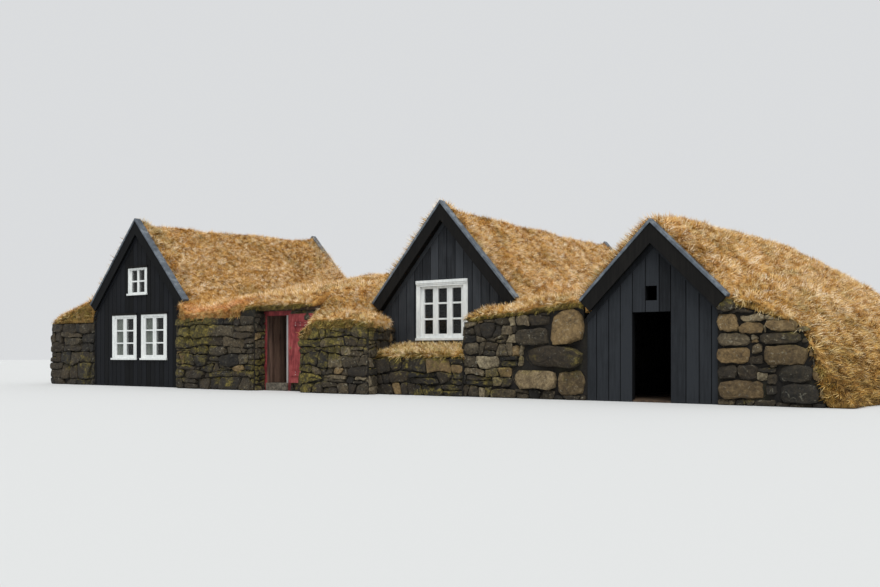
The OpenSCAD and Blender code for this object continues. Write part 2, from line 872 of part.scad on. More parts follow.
module flank_slice(x0, y0, y1) {
    translate([0, y1, 0]) rotate([90, 0, 0]) linear_extrude(y1 - y0)
        polygon([[x0, 0], [flank_foot_x, 0], [flank_bend_x, flank_bend_z], [flank_edge_x, flank_edge_z],
                 [right_tip(right), flank_wall_z], [x0, flank_wall_z]]);
}

module right_outer_wall() {
    color("#6d6455") difference() {
        union() {
            flank_slice(right_tip(right), -flank_front, rear_y(right));
            intersection() {
                flank_slice(right_tip(right) - flank_lap, -flank_front, 0);
                union() {
                    under_roof(right, under_deck + tip_gap);
                    translate([tip_gap, 0, -tip_gap]) past_tips(right);
                }
            }
            intersection() {
                span(ridge_x(right) + room_half(right), right_tip(right), 0, rear_y(right), 0, far_z);
                under_roof(right, under_deck);
            }
        }
        span(0, ridge_x(right) + gable_half(right), 0, gable_t, 0, far_z);
        span(0, ridge_x(right) + gable_half(right), rear_y(right) - gable_t, far_y, 0, far_z);
    }
}

// Turf surfaces. A soft maximum blends a roof slope into the turf that lies on a wall.
function clamp01(v) = min(1, max(0, v));
function ease(v) = let (t = clamp01(v)) t * t * (3 - 2 * t);
function soft_max(a, b, r) = (a + b + sqrt(pow(a - b, 2) + r * r)) / 2;
function mix(a, b, t) = a + (b - a) * t;

// Sizes of the blends, from broad to tight
blend_broad = 160;
blend_mid = 120;
blend_close = 90;
blend_tight = 60;

function lumps(x, y) = 28 * sin(x * 0.11 + 40) * sin(y * 0.13 + 10) + 16 * sin(x * 0.23 + y * 0.19);

// Height that turf swells above the cap boards away from them
roof_swell = 20;

// How far the turf is from the cap boards at both ends, 0 at the boards and 1 past the fade
cap_fade = 700;
function clear_of_caps(h, y) =
    ease((y - roof_front(h) - cap_w + cap_out) / cap_fade)
    * ease((roof_rear(h) - cap_w + cap_out - y) / cap_fade);

function roof_top(h, x, y, swell) =
    let (c = clear_of_caps(h, y), dx = x - ridge_x(h), r = ridge_round * c)
    h[4] - cap_v - seat_gap - pitch(h) * sqrt(dx * dx + r * r) + climb(h) * (y - h[1]) + swell * c
    + lumps(x, y) * c;

// Fall of turf towards its front edge
function edge_fall(d, deep, reach) = deep * (1 - ease(d / reach));

left_turf_x0 = left_tip(left) - left_wall_w - turf_lip;

// Turf at its edges: how far it falls, and over what distance
lip_fall = 120;
lip_reach = 450;

// The turf on the wall beside the left house climbs towards the eave
left_lean = 0.27;
function left_top(x, y) =
    soft_max(roof_top(left, x, y, roof_swell), left_wall_z + wall_turf + left_lean * (x - left_turf_x0)
             - edge_fall(x - left_turf_x0, lip_fall, lip_reach)
             - edge_fall(y + turf_lip, lip_fall, lip_reach),
             blend_broad);

function entry_front(x) =
    x < entry_deck_x0 ? -entry_wall_front - turf_lip
    : x < jamb_left_x
        ? mix(-entry_wall_front - turf_lip, frame_y - door_eave, (x - entry_deck_x0) / entry_bearing)
    : frame_y - door_eave;

// The surface that carries the passage's turf: low shoulders, and the roof boards between them
function entry_low(x, y) =
    entry_under_z(y) + seat_gap + (x < entry_deck_x0 ? -shoulder_drop : entry_deck_t);

// Turf over the passage. It runs on into the valleys on both sides and lies on the roof slopes there.
valley_turf = wall_turf + 60;
valley_blend = 900;
valley_climb = 0.04;
west_rise = 3000;
west_dip = 100;
west_past_rear = 400;
function entry_level(x, y) =
    entry_under_z(y) + valley_turf + valley_climb * clamp01(y / entry_crest) * entry_crest
    + mix(-shoulder_drop, entry_deck_t, ease((x - right_tip(left)) / (entry_deck_x0 - right_tip(left))));
function west_level(y) =
    mix(west_wall_z + wall_turf, entry_level(entry_deck_x1, y) - west_dip,
        ease((y - middle_back) / west_rise) * ease((rear_y(middle) + west_past_rear - y) / west_rise));
function valley(x, y) =
    x < entry_deck_x1 ? entry_level(x, y)
    : mix(entry_level(x, y), west_level(y), ease((x - entry_deck_x1) / valley_blend));

// Fall of the passage's turf to its rear edge
rear_fall = 220;
rear_fall_reach = 900;
function entry_rear_fall(y) = edge_fall(entry_len - y, rear_fall, rear_fall_reach);

function entry_top(x, y) =
    soft_max(
        soft_max(roof_top(left, x, y, roof_swell), roof_top(middle, x, max(y, middle_back), roof_swell),
                 blend_tight),
        valley(x, y) + lumps(x, y) - edge_fall(y - entry_front(x), lip_fall, lip_reach)
        - entry_rear_fall(y), blend_close);

// A roof slope with the turf of the valley beside it
function slope_top(h, x, y, level) =
    let (roof = roof_top(h, x, y, roof_swell), c = clear_of_caps(h, y))
    mix(roof, soft_max(roof, level + lumps(x, y), blend_mid), c);

// A blanket of turf: a grid of top points over a grid of bottom points with the same plan
module blanket(top, low) {
    nx = len(top) - 1;
    ny = len(top[0]) - 1;
    rows = nx + 1;
    cols = ny + 1;
    function at(i, j) = i * cols + j;
    function under(i, j) = rows * cols + i * cols + j;
    points = concat([for (row = top) for (p = row) p], [for (row = low) for (p = row) p]);
    faces = concat(
        [for (i = [0 : nx - 1]) for (j = [0 : ny - 1]) [at(i, j), at(i, j + 1), at(i + 1, j + 1)]],
        [for (i = [0 : nx - 1]) for (j = [0 : ny - 1]) [at(i, j), at(i + 1, j + 1), at(i + 1, j)]],
        [for (i = [0 : nx - 1]) for (j = [0 : ny - 1]) [under(i, j), under(i + 1, j + 1), under(i, j + 1)]],
        [for (i = [0 : nx - 1]) for (j = [0 : ny - 1]) [under(i, j), under(i + 1, j), under(i + 1, j + 1)]],
        [for (j = [0 : ny - 1]) [at(0, j), under(0, j), under(0, j + 1), at(0, j + 1)]],
        [for (j = [0 : ny - 1]) [at(nx, j + 1), under(nx, j + 1), under(nx, j), at(nx, j)]],
        [for (i = [0 : nx - 1]) [at(i + 1, 0), under(i + 1, 0), under(i, 0), at(i, 0)]],
        [for (i = [0 : nx - 1]) [at(i, ny), under(i, ny), under(i + 1, ny), at(i + 1, ny)]]
    );
    polyhedron(points = points, faces = faces);
}

// Evenly spaced stations between a front and a rear
function stations(y0, y1, n) = [for (j = [0 : n]) mix(y0, y1, j / n)];
roof_steps = 18;
up_slope = [0, 0.2, 0.4, 0.6, 0.8, 0.93, 1];
down_slope = [for (i = [6 : -1 : 0]) 1 - up_slope[i]];

// The top of the roof boards, with the turf's clearance
function roof_seat(h, x, y) = roof_z(h, x, y, turf_v + cap_v) + seat_gap;

function capped_stations(h, n) =
    let (a = roof_front(h) + barge_t, b = roof_front(h) - cap_out + cap_w,
         c = roof_rear(h) + cap_out - cap_w, d = roof_rear(h) - barge_t)
    concat([a], stations(b, c, n), [d]);

module left_roof_turf() {
    ys = capped_stations(left, roof_steps);
    xw = [for (t = up_slope) mix(left_tip(left), ridge_x(left), t)];
    xe = [for (t = down_slope) mix(ridge_x(left), right_tip(left), t)];
    xo = [for (t = [0, 0.06, 0.16, 0.3, 0.5, 0.75, 1]) mix(left_turf_x0, left_tip(left), t)];
    yo = concat([-turf_lip, 60], stations(180, rear_y(left), roof_steps));
    color("#c08a45") {
        square_overhangs(left)
            blanket([for (x = xw) [for (y = ys) [x, y, roof_top(left, x, y, roof_swell)]]],
                    [for (x = xw) [for (y = ys) [x, y, roof_seat(left, x, y)]]]);
        square_overhangs(left)
            blanket([for (x = xe) [for (y = ys)
                        [x, y, slope_top(left, x, y, valley(x, y) - entry_rear_fall(y))]]],
                    [for (x = xe) [for (y = ys) [x, y, roof_seat(left, x, y)]]]);
        blanket([for (x = xo) [for (y = yo) [x, y, left_top(x, y)]]],
                [for (x = xo) [for (y = yo) [x, y, left_wall_z + seat_gap]]]);
    }
}

// One blanket over both walls and the roof boards. Its underside steps up beside the boards.
module entry_turf() {
    n_front = 11;
    n_rear = 6;
    step_w = 2;
    xs = concat(
        [for (t = [0, 0.1, 0.25, 0.4, 0.55, 0.7, 0.85, 1]) mix(right_tip(left), entry_deck_x0 - step_w, t)],
        [for (t = [0, 0.17, 0.33, 0.5, 0.67, 0.83, 1]) mix(entry_deck_x0, entry_deck_x1, t)]);
    function at_y(x, j) =
        j <= n_front ? mix(entry_front(x), entry_crest, pow(j / n_front, 1.3))
        : mix(entry_crest, entry_len, (j - n_front) / n_rear);
    color("#c08a45")
        blanket([for (x = xs) [for (j = [0 : n_front + n_rear])
                    let (y = at_y(x, j)) [x, y, entry_top(x, y)]]],
                [for (x = xs) [for (j = [0 : n_front + n_rear])
                    let (y = at_y(x, j)) [x, y, entry_low(x, y)]]]);
}

function middle_west_top(x, y) =
    soft_max(roof_top(middle, x, y, roof_swell), valley(x, y) + lumps(x, y), blend_mid);

module middle_roof_turf() {
    ys = capped_stations(middle, roof_steps);
    xw = [for (t = up_slope) mix(left_tip(middle), 0, t)];
    xe = [for (t = down_slope) mix(0, right_tip(middle), t)];
    xo = [for (t = [0, 0.25, 0.5, 0.75, 1]) mix(-porch_left, left_tip(middle), t)];
    yo = stations(middle_back + gable_t, rear_y(middle), roof_steps);
    color("#c08a45") {
        square_overhangs(middle)
            blanket([for (x = xw) [for (y = ys) [x, y, slope_top(middle, x, y, valley(x, y))]]],
                    [for (x = xw) [for (y = ys) [x, y, roof_seat(middle, x, y)]]]);
        square_overhangs(middle)
            blanket([for (x = xe) [for (y = ys) [x, y, slope_top(middle, x, y, shared_level(x, y))]]],
                    [for (x = xe) [for (y = ys) [x, y, roof_seat(middle, x, y)]]]);
        blanket([for (x = xo) [for (y = yo) [x, y, middle_west_top(x, y)]]],
                [for (x = xo) [for (y = yo) [x, y, west_wall_z + seat_gap]]]);
    }
}

// Depth at which the turf in front of a house ends, short of its cap boards
cap_clearance = 20;
function turf_rear(h) = roof_front(h) - cap_out - cap_clearance;

function jutting_x(t, y) =
    let (back = (y + porch_front) / (middle_back + porch_front))
    mix(-porch_left, turf_lip - mix(porch_right, porch_rear_right, back), t);
porch_turf = 320;
porch_hang = 90;
porch_join_from = -300;
porch_join = 1200;
porch_join_share = 1.5;
porch_corner_swell = 60;
porch_end_share = 0.3;
function jutting_own_top(t, x, y) =
    min(porch_z, porch_cut_z(x, y) + porch_corner_swell) + porch_turf + lumps(x, y)
    - edge_fall(y + porch_front + turf_lip, lip_fall, lip_reach)
    - edge_fall(1 - t, lip_fall, porch_end_share);

// The turf joins the passage's turf behind its left end
function jutting_top(t, x, y) =
    let (own = jutting_own_top(t, x, y))
    mix(own, max(own, entry_top(entry_deck_x1, y)),
        ease((y - porch_join_from) / porch_join) * ease(1 - porch_join_share * t));

module jutting_wall_turf() {
    y0 = -porch_front - turf_lip;
    y1 = turf_rear(middle);
    ts = [0, 0.06, 0.14, 0.24, 0.36, 0.5, 0.65, 0.8, 0.92, 1];
    ys = [for (t = [0, 0.06, 0.16, 0.3, 0.45, 0.6, 0.8, 1]) mix(y0, y1, t)];
    color("#b08a45") difference() {
        blanket([for (t = ts) [for (y = ys) let (x = jutting_x(t, y)) [x, y, jutting_top(t, x, y)]]],
                [for (t = ts) [for (y = ys) let (x = jutting_x(t, y))
                    [x, y, min(porch_z, porch_cut_z(x, y)) - porch_hang]]]);
        jutting_body(seat_gap);
    }
}

function shared_under(x) =
    mix(shared_wall_z, shared_wall_end_z, (x - terrace_right) / (left_tip(right) - terrace_right));
function shared_under_rear(x) =
    mix(valley_wall_z, shared_wall_end_z, (x - right_tip(middle)) / (left_tip(right) - right_tip(middle)));

// Turf over the wall between the middle and the right house, and in the valley behind it
shared_rise = 0.14;
shared_crest = 5500;
shared_rise_from = 300;
shared_rear_share = 0.6;
function shared_level(x, y) =
    shared_under(max(x, terrace_right)) + valley_turf
    + shared_rise * (max(0, min(y, shared_crest) - shared_rise_from)
                     - max(0, y - shared_crest) * shared_rear_share);

function shared_top(x, y) =
    shared_level(x, y) - edge_fall(y + turf_lip, lip_fall, lip_reach)
    - edge_fall(x - terrace_right + turf_lip, lip_fall, lip_reach) + lumps(x, y);

function shared_rear_top(x, y) =
    soft_max(soft_max(roof_top(middle, x, y, roof_swell), roof_top(right, x, y, right_swell), blend_tight),
             shared_top(x, y), blend_mid);

module shared_wall_turf() {
    xa = [for (t = [0, 0.05, 0.13, 0.25, 0.4, 0.6, 0.8, 1])
        mix(terrace_right - turf_lip, left_tip(right), t)];
    ya = [for (t = [0, 0.08, 0.2, 0.4, 0.7, 1])
        mix(-turf_lip, turf_rear(middle), t)];
    xb = [for (t = [0, 0.2, 0.4, 0.6, 0.8, 1]) mix(right_tip(middle), left_tip(right), t)];
    yb = concat([turf_rear(middle)],
                stations(middle_back, rear_y(middle), roof_steps));
    color("#c08a45") {
        blanket([for (x = xa) [for (y = ya) [x, y, shared_top(x, y)]]],
                [for (x = xa) [for (y = ya) [x, y, max(shared_under(x), shared_wall_z) + seat_gap]]]);
        blanket([for (x = xb) [for (y = yb) [x, y, shared_rear_top(x, y)]]],
                [for (x = xb) [for (y = yb) [x, y, shared_under_rear(x) + seat_gap]]]);
    }
}

// The right house's cover: the turf swells over the ridge and flattens towards the rear
flat_reach = 7000;
flat_share = 0.38;
function right_flat(y) = ease(y / flat_reach);

function right_top(x, y) =
    let (dx = abs(x - right_out), c = clear_of_caps(right, y), roof = roof_top(right, x, y, right_swell))
    x > right_out ? roof + flat_share * dx * right_flat(y) * c
    : mix(roof, soft_max(roof, shared_level(x, y) + lumps(x, y), blend_tight), c);

module right_roof_turf() {
    ys = capped_stations(right, roof_steps);
    xw = [for (t = up_slope) mix(left_tip(right), right_out, t)];
    xe = [for (t = down_slope) mix(right_out, right_tip(right), t)];
    color("#c08a45") {
        square_overhangs(right)
            blanket([for (x = xw) [for (y = ys) [x, y, right_top(x, y)]]],
                    [for (x = xw) [for (y = ys) [x, y, roof_seat(right, x, y)]]]);
        square_overhangs(right)
            blanket([for (x = xe) [for (y = ys) [x, y, right_top(x, y)]]],
                    [for (x = xe) [for (y = ys) [x, y, roof_seat(right, x, y)]]]);
    }
}

// The bank that leans on the right wall. Its foot swings out towards the rear.
bank_reach = 6500;
bank_fall_from = rear_y(right) - 1500;
bank_fall_w = 2200;
function bank_foot(y) = right_out + mix(bank_front, bank_rear, ease(y / bank_reach));
function bank_rear_fall(y) = 1 - ease((y - bank_fall_from) / bank_fall_w);

// Share of its height that the bank would keep at its foot, if it ran straight down
bank_hollow_reach = 5000;
bank_keep_front = 0.75;
bank_keep_rear = 0.5;

// How round the bank's shoulder is, its least thickness on the stones, and the thickness of its edges
bank_round = 2.4;
bank_skin = 40;
bank_edge = 30;
bank_front_lip = 20;
function bank_keep(y) = mix(bank_keep_front, bank_keep_rear, ease(y / bank_hollow_reach));

function flank_z(x) =
    x < flank_edge_x ? mix(flank_wall_z, flank_edge_z, (x - right_tip(right)) / flank_top_w)
    : x < flank_bend_x ? mix(flank_edge_z, flank_bend_z, (x - flank_edge_x) / (flank_bend_x - flank_edge_x))
    : max(0, mix(flank_bend_z, 0, (x - flank_bend_x) / (flank_foot_x - flank_bend_x)));

module right_turf_bank() {
    n = 18;
    xs = [right_tip(right), right_tip(right) + flank_top_w / 4, right_tip(right) + flank_top_w / 2,
          right_tip(right) + flank_top_w * 3 / 4, flank_edge_x, flank_bend_x, flank_foot_x];
    ts = [0.25, 0.5, 0.75, 0.9, 1];
    function bank_z(x, y) = let (
            t = clamp01((x - right_tip(right)) / (bank_foot(y) - right_tip(right))),
            top = right_top(right_tip(right), y) + bank_skin)
        max(flank_z(x) + bank_skin, top * (1 - pow(t, bank_round)) * mix(1, bank_keep(y), t))
        * bank_rear_fall(y) + bank_edge;
    ys = [for (t = [0 : n]) mix(-flank_front - bank_front_lip, rear_y(right) - turf_lip, t / n)];
    function row_x(i, y) = i < len(xs) ? xs[i] : mix(flank_foot_x, bank_foot(y), ts[i - len(xs)]);
    last = len(xs) + len(ts) - 1;
    color("#c08a45")
        blanket([for (i = [0 : last]) [for (y = ys) let (x = row_x(i, y)) [x, y, bank_z(x, y)]]],
                [for (i = [0 : last]) [for (y = ys) let (x = row_x(i, y)) [x, y, flank_z(x) + seat_gap]]]);
}

left_front_gable();
left_window_frames();
left_window_glass();
color("#1b1f25") barge_boards(left);  // left_barge_boards
color("#5d6975") cap_boards(left);  // left_cap_boards
color("#6b563e") roof_boards(left);  // left_roof_boards
left_roof_turf();
color("#20242a") rear_gable(left);  // left_rear_gable
left_outer_wall();
left_floor();
left_inner_wall_front();
left_inner_wall_rear();
left_inner_wall_over_door();
entry_door_frame();
entry_threshold();
entry_hinge_pins();
entry_door();
entry_door_hinges();
entry_roof_boards();
entry_turf();
entry_right_wall_front();
entry_right_wall_rear();
entry_right_wall_over_door();
entry_rear_wall();
entry_floor();
middle_front_gable();
middle_window_frame();
middle_window_glass();
color("#1b1f25") barge_boards(middle);  // middle_barge_boards
color("#5d6975") cap_boards(middle);  // middle_cap_boards
color("#6b563e") roof_boards(middle);  // middle_roof_boards
middle_roof_turf();
color("#262b33") rear_gable(middle);  // middle_rear_gable
middle_floor();
terrace_wall();
terrace_turf();
jutting_wall();
jutting_wall_turf();
shared_wall();
shared_wall_turf();
right_gable_left();
right_gable_right();
right_gable_over_door();
color("#1b1f25") barge_boards(right);  // right_barge_boards
color("#5d6975") cap_boards(right);  // right_cap_boards
color("#6b563e") roof_boards(right);  // right_roof_boards
right_roof_turf();
color("#262b33") rear_gable(right);  // right_rear_gable
right_floor();
right_outer_wall();
right_turf_bank();
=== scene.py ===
"""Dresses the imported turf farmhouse: grass-grown turf, rubble walls, tarred boards, windows and red door."""

import json
import logging
import math
import random
from dataclasses import dataclass
from enum import Enum
from typing import Iterable, Optional, Sequence, Union

import bmesh
import bpy
import numpy as np
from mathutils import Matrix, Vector, noise


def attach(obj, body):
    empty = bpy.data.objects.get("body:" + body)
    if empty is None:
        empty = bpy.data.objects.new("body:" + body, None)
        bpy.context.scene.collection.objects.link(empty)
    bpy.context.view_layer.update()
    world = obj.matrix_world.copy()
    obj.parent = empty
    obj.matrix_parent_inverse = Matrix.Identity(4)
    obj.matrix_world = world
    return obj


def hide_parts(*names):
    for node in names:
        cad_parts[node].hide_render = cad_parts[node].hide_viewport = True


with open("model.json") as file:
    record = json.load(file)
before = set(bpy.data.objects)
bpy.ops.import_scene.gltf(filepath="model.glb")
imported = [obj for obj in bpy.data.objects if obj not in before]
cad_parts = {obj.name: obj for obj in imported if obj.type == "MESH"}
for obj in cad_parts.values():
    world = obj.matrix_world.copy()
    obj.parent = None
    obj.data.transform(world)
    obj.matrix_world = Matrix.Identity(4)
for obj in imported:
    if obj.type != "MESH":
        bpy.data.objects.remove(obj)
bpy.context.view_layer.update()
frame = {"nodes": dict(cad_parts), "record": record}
log = logging.getLogger("farmhouse")

Object, Mesh, Material = bpy.types.Object, bpy.types.Mesh, bpy.types.Material
Pair = tuple[float, float]
Point = tuple[float, float, float]
Colour = tuple[float, float, float, float]
Rect = tuple[float, float, float, float]
Block = tuple[float, float, float, float, float]
Polygon = list[Pair]
Stops = tuple[tuple[float, str], ...]
Grain = tuple[float, float, float]
Shares = tuple[float, float, float, float]
Step = tuple[float, float, float, float]


class Body(Enum):
    """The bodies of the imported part."""

    HOUSE = "house"
    RED_DOOR = "red_door"


class Slot(Enum):
    """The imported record's material slots."""

    STONE = "wall_stone"
    TURF = "turf"
    BLACK_BOARDS = "black_boards"
    CAPS = "cap_boards"
    ROOF_BOARDS = "roof_boards"
    RED_BOARDS = "red_boards"
    WHITE = "white_frame"
    GLASS = "window_glass"
    IRON = "iron"
    FLOOR = "floor"
    THRESHOLD = "threshold"


def shade(code: str) -> Colour:
    """Turns a colour as it is seen into the values that a shader takes.

    Args:
        code: Six hex digits after a hash, as in "#c08a45".

    Returns:
        Red, green, blue and alpha, linear.
    """
    parts = [int(code[i : i + 2], 16) / 255 for i in (1, 3, 5)]
    red, green, blue = (c / 12.92 if c <= 0.04045 else ((c + 0.055) / 1.055) ** 2.4 for c in parts)
    return red, green, blue, 1.0


class Sock:
    """An output socket of a node tree that Python's signs work on."""

    def __init__(self, tree: "Tree", socket: bpy.types.NodeSocket) -> None:
        """Keeps the tree and the socket."""
        self.tree = tree
        self.socket = socket

    def maths(self, operation: str, *others: "Value") -> "Sock":
        """Adds a Math node that works on this value and the others."""
        return self.tree.maths(operation, self, *others)

    def __add__(self, other: "Value") -> "Sock":
        """This value plus another."""
        return self.maths("ADD", other)

    __radd__ = __add__

    def __sub__(self, other: "Value") -> "Sock":
        """This value less another."""
        return self.maths("SUBTRACT", other)

    def __rsub__(self, other: "Value") -> "Sock":
        """Another value less this one."""
        return self.tree.maths("SUBTRACT", other, self)

    def __mul__(self, other: "Value") -> "Sock":
        """This value times another."""
        return self.maths("MULTIPLY", other)

    __rmul__ = __mul__

    def __pow__(self, other: "Value") -> "Sock":
        """This value to a power."""
        return self.maths("POWER", other)

    def band(self, low: float, high: float) -> "Sock":
        """Rises smoothly from 0 at one value to 1 at another."""
        settings = {"interpolation_type": "SMOOTHSTEP"}
        return self.tree.node("ShaderNodeMapRange", settings, {0: self, 1: low, 2: high})


Value = Union[Sock, float, int, tuple]


class Tree:
    """A node tree under construction."""

    def __init__(self, tree: bpy.types.NodeTree) -> None:
        """Keeps the tree."""
        self.tree = tree

    def node(self, kind: str, settings: Optional[dict] = None, inputs: Optional[dict] = None,
             out: Union[int, str, None] = 0) -> Optional[Sock]:
        """Adds one node.

        Args:
            kind: The node's type.
            settings: Its properties; "stops" are a ramp's places and colours.
            inputs: Values or sockets by input name or number.
            out: Which output is wanted, if any.

        Returns:
            That output.
        """
        made = self.tree.nodes.new(kind)
        for key, value in (settings or {}).items():
            if key == "stops":
                self.set_stops(made.color_ramp, value)
            else:
                setattr(made, key, value)
        for key, value in (inputs or {}).items():
            if isinstance(value, Sock):
                self.tree.links.new(value.socket, made.inputs[key])
            else:
                made.inputs[key].default_value = value
        return None if out is None else Sock(self, made.outputs[out])

    @staticmethod
    def set_stops(ramp: bpy.types.ColorRamp, stops: Stops) -> None:
        """Gives a colour ramp its stops.

        Args:
            ramp: The ramp.
            stops: Place and colour code of each stop.
        """
        while len(ramp.elements) < len(stops):
            ramp.elements.new(1.0)
        for element, (place, code) in zip(ramp.elements, stops):
            element.position = place
            element.color = shade(code)

    def maths(self, operation: str, *values: Value) -> Sock:
        """Adds a Math node."""
        return self.node("ShaderNodeMath", {"operation": operation}, dict(enumerate(values)))

    def vector(self, operation: str, *values: Value, out: int = 0) -> Sock:
        """Adds a Vector Math node, where the second input of SCALE is a number."""
        keys = [3 if operation == "SCALE" and i == 1 else i for i in range(len(values))]
        return self.node("ShaderNodeVectorMath", {"operation": operation}, dict(zip(keys, values)), out)


class Shader(Tree):
    """A material under construction."""

    def __init__(self, name: str) -> None:
        """Starts an empty material.

        Args:
            name: The material's name.
        """
        self.material = bpy.data.materials.new(name)
        self.material.use_nodes = True
        super().__init__(self.material.node_tree)
        self.tree.nodes.clear()
        self.place = self.node("ShaderNodeTexCoord", out="Object")

    def noise(self, scale: float, detail: float = 4, rough: float = 0.55, stretch: Point = (1, 1, 1),
              warp: float = 0) -> Sock:
        """Adds a Noise Texture on the object's own coordinates.

        Args:
            scale: How fine the pattern is.
            detail: How many finer layers it has.
            rough: How strong the finer layers are.
            stretch: Scale along each axis.
            warp: How twisted it is.

        Returns:
            The pattern, 0 to 1.
        """
        place = self.node("ShaderNodeMapping", {}, {0: self.place, 3: stretch})
        return self.node("ShaderNodeTexNoise", {}, {"Vector": place, "Scale": scale, "Detail": detail,
                                                    "Roughness": rough, "Distortion": warp})

    def attribute(self, name: str) -> Sock:
        """Reads a number that the mesh carries."""
        return self.node("ShaderNodeAttribute", {"attribute_name": name}, out="Fac")

    def ramp(self, factor: Value, *stops: tuple[float, str]) -> Sock:
        """Turns a number into a colour."""
        return self.node("ShaderNodeValToRGB", {"stops": stops}, {0: factor})

    def mix(self, factor: Value, one: Value, other: Value) -> Sock:
        """Mixes two colours."""
        settings = {"data_type": "RGBA", "clamp_factor": True}
        return self.node("ShaderNodeMix", settings, {0: factor, 6: one, 7: other}, 2)

    def close(self, colour: Value, roughness: Value, height: Optional[Sock] = None, depth: float = 0.01,
              strength: float = 0.6, **constants: float) -> Material:
        """Ends the material in a Principled shader.

        Args:
            colour: Base colour.
            roughness: Roughness.
            height: Relief that bumps the surface, 0 to 1.
            depth: Depth of the relief in metres.
            strength: Strength of the bump.
            constants: Plain values by socket name, with _ for a space.

        Returns:
            The material.
        """
        inputs: dict = {"Base Color": colour, "Roughness": roughness}
        inputs.update({key.replace("_", " "): value for key, value in constants.items()})
        if height is not None:
            inputs["Normal"] = self.node("ShaderNodeBump", {}, {"Strength": strength, "Distance": depth,
                                                                 "Height": height})
        surface = self.node("ShaderNodeBsdfPrincipled", {}, inputs)
        self.node("ShaderNodeOutputMaterial", {}, {"Surface": surface}, None)
        return self.material


@dataclass(frozen=True)
class Coat:
    """A finish of one grain, perhaps with broader patches, that runs between a few colours.

    The shares say how much grain, patches and the board's own tone count in the colour, and what is added.
    """

    name: str
    stops: Stops
    grain: Grain = (7, 6, 0.65)
    stretch: Point = (1, 1, 1)
    patch: Optional[Grain] = None
    shares: Shares = (1.0, 0.0, 0.0, 0.0)
    rough: Pair = (0.55, 0.3)
    patch_dulls: bool = False
    relief: Pair = (0.004, 0.5)
    specular: float = 0.5
    metallic: float = 0.0

    def material(self) -> Material:
        """Makes the material.

        Returns:
            The material.
        """
        m = Shader(self.name)
        dull = grain = m.noise(*self.grain, self.stretch)
        of_grain, of_patch, of_tone, more = self.shares
        value = grain * of_grain + m.attribute("tone") * of_tone + more
        if self.patch:
            patch = m.noise(*self.patch)
            value = value + patch * of_patch
            dull = patch if self.patch_dulls else grain
        return m.close(m.ramp(value, *self.stops), self.rough[0] + self.rough[1] * dull, grain, *self.relief,
                       Specular_IOR_Level=self.specular, Metallic=self.metallic)


@dataclass(frozen=True)
class TarredBoards(Coat):
    """Boards under many coats of tar, streaked down their length."""

    grain: Grain = (26, 5, 0.6)
    stretch: Point = (1, 1, 0.07)
    patch: Optional[Grain] = (1.6, 4, 0.6)
    shares: Shares = (0.5, 0.35, 0.34, -0.08)
    patch_dulls: bool = True
    specular: float = 0.15


@dataclass(frozen=True)
class CapPaint(Coat):
    """Worn blue-grey paint on the cap boards."""

    name: str = "cap_paint"
    stops: Stops = ((0.36, "#3d434a"), (0.52, "#5b636b"), (0.66, "#868d93"))
    grain: Grain = (9, 6, 0.65)
    stretch: Point = (1, 0.5, 1)
    patch: Optional[Grain] = (2.2, 5, 0.7)
    shares: Shares = (0.5, 0.5, 0.0, 0.0)
    specular: float = 0.35


@dataclass(frozen=True)
class RedPaint(Coat):
    """Old red paint, worn through to pinkish wood in places."""

    name: str = "red_paint"
    stops: Stops = ((0.36, "#561c1e"), (0.5, "#853536"), (0.6, "#9c4d4a"), (0.7, "#b98a80"))
    grain: Grain = (22, 6, 0.65)
    stretch: Point = (1, 1, 0.12)
    patch: Optional[Grain] = (3.0, 5, 0.65)
    shares: Shares = (0.5, 0.5, 0.1, -0.06)
    rough: Pair = (0.6, 0.3)
    patch_dulls: bool = True
    specular: float = 0.3


@dataclass(frozen=True)
class BareBoards(Coat):
    """Bare boards, each of its own tone."""

    name: str = "bare_boards"
    stops: Stops = ((0.34, "#2a1d12"), (0.68, "#5b4630"))
    stretch: Point = (1, 0.12, 1)
    shares: Shares = (1.0, 0.0, 0.2, -0.05)
    rough: Pair = (0.7, 0.2)


@dataclass(frozen=True)
class SlabStone(Coat):
    """A trodden threshold slab."""

    name: str = "slab"
    stops: Stops = ((0.35, "#332e27"), (0.65, "#70685a"))
    grain: Grain = (16, 6, 0.65)
    rough: Pair = (0.85, 0.0)
    relief: Pair = (0.01, 0.6)


@dataclass(frozen=True)
class ForgedIron(Coat):
    """Dark forged iron with rust."""

    name: str = "forged_iron"
    stops: Stops = ((0.4, "#1d1a18"), (0.62, "#4a2c1c"))
    grain: Grain = (40, 5, 0.7)
    relief: Pair = (0.001, 0.5)
    metallic: float = 0.6


@dataclass(frozen=True)
class NailHead(Coat):
    """Worn bright iron of the nail heads in the door."""

    name: str = "nail_head"
    stops: Stops = ((0.4, "#8f8a86"), (0.62, "#c3bebb"))
    grain: Grain = (60, 4, 0.7)
    rough: Pair = (0.5, 0.3)
    relief: Pair = (0.001, 0.4)
    metallic: float = 0.4


@dataclass(frozen=True)
class WallEarth:
    """Earth and small stones that fill the walls behind the large stones, near black: partly their own colour,
    partly painted shade in the joints.
    """

    name: str = "wall_earth"

    def material(self) -> Material:
        """Makes the material.

        Returns:
            The material.
        """
        m = Shader(self.name)
        lump = m.noise(7, 6, 0.7)
        moss = m.noise(1.7, 4, 0.6).band(0.5, 0.66)
        # Near-black earth colour: partly the earth's own, partly painted shade in the joints between the
        # stones.
        earth_and_shade = m.ramp(lump, (0.35, "#060504"), (0.7, "#1d170f"))
        return m.close(m.mix(moss * 0.5, earth_and_shade, shade("#23220e")), 0.95, lump, 0.05, 0.8)


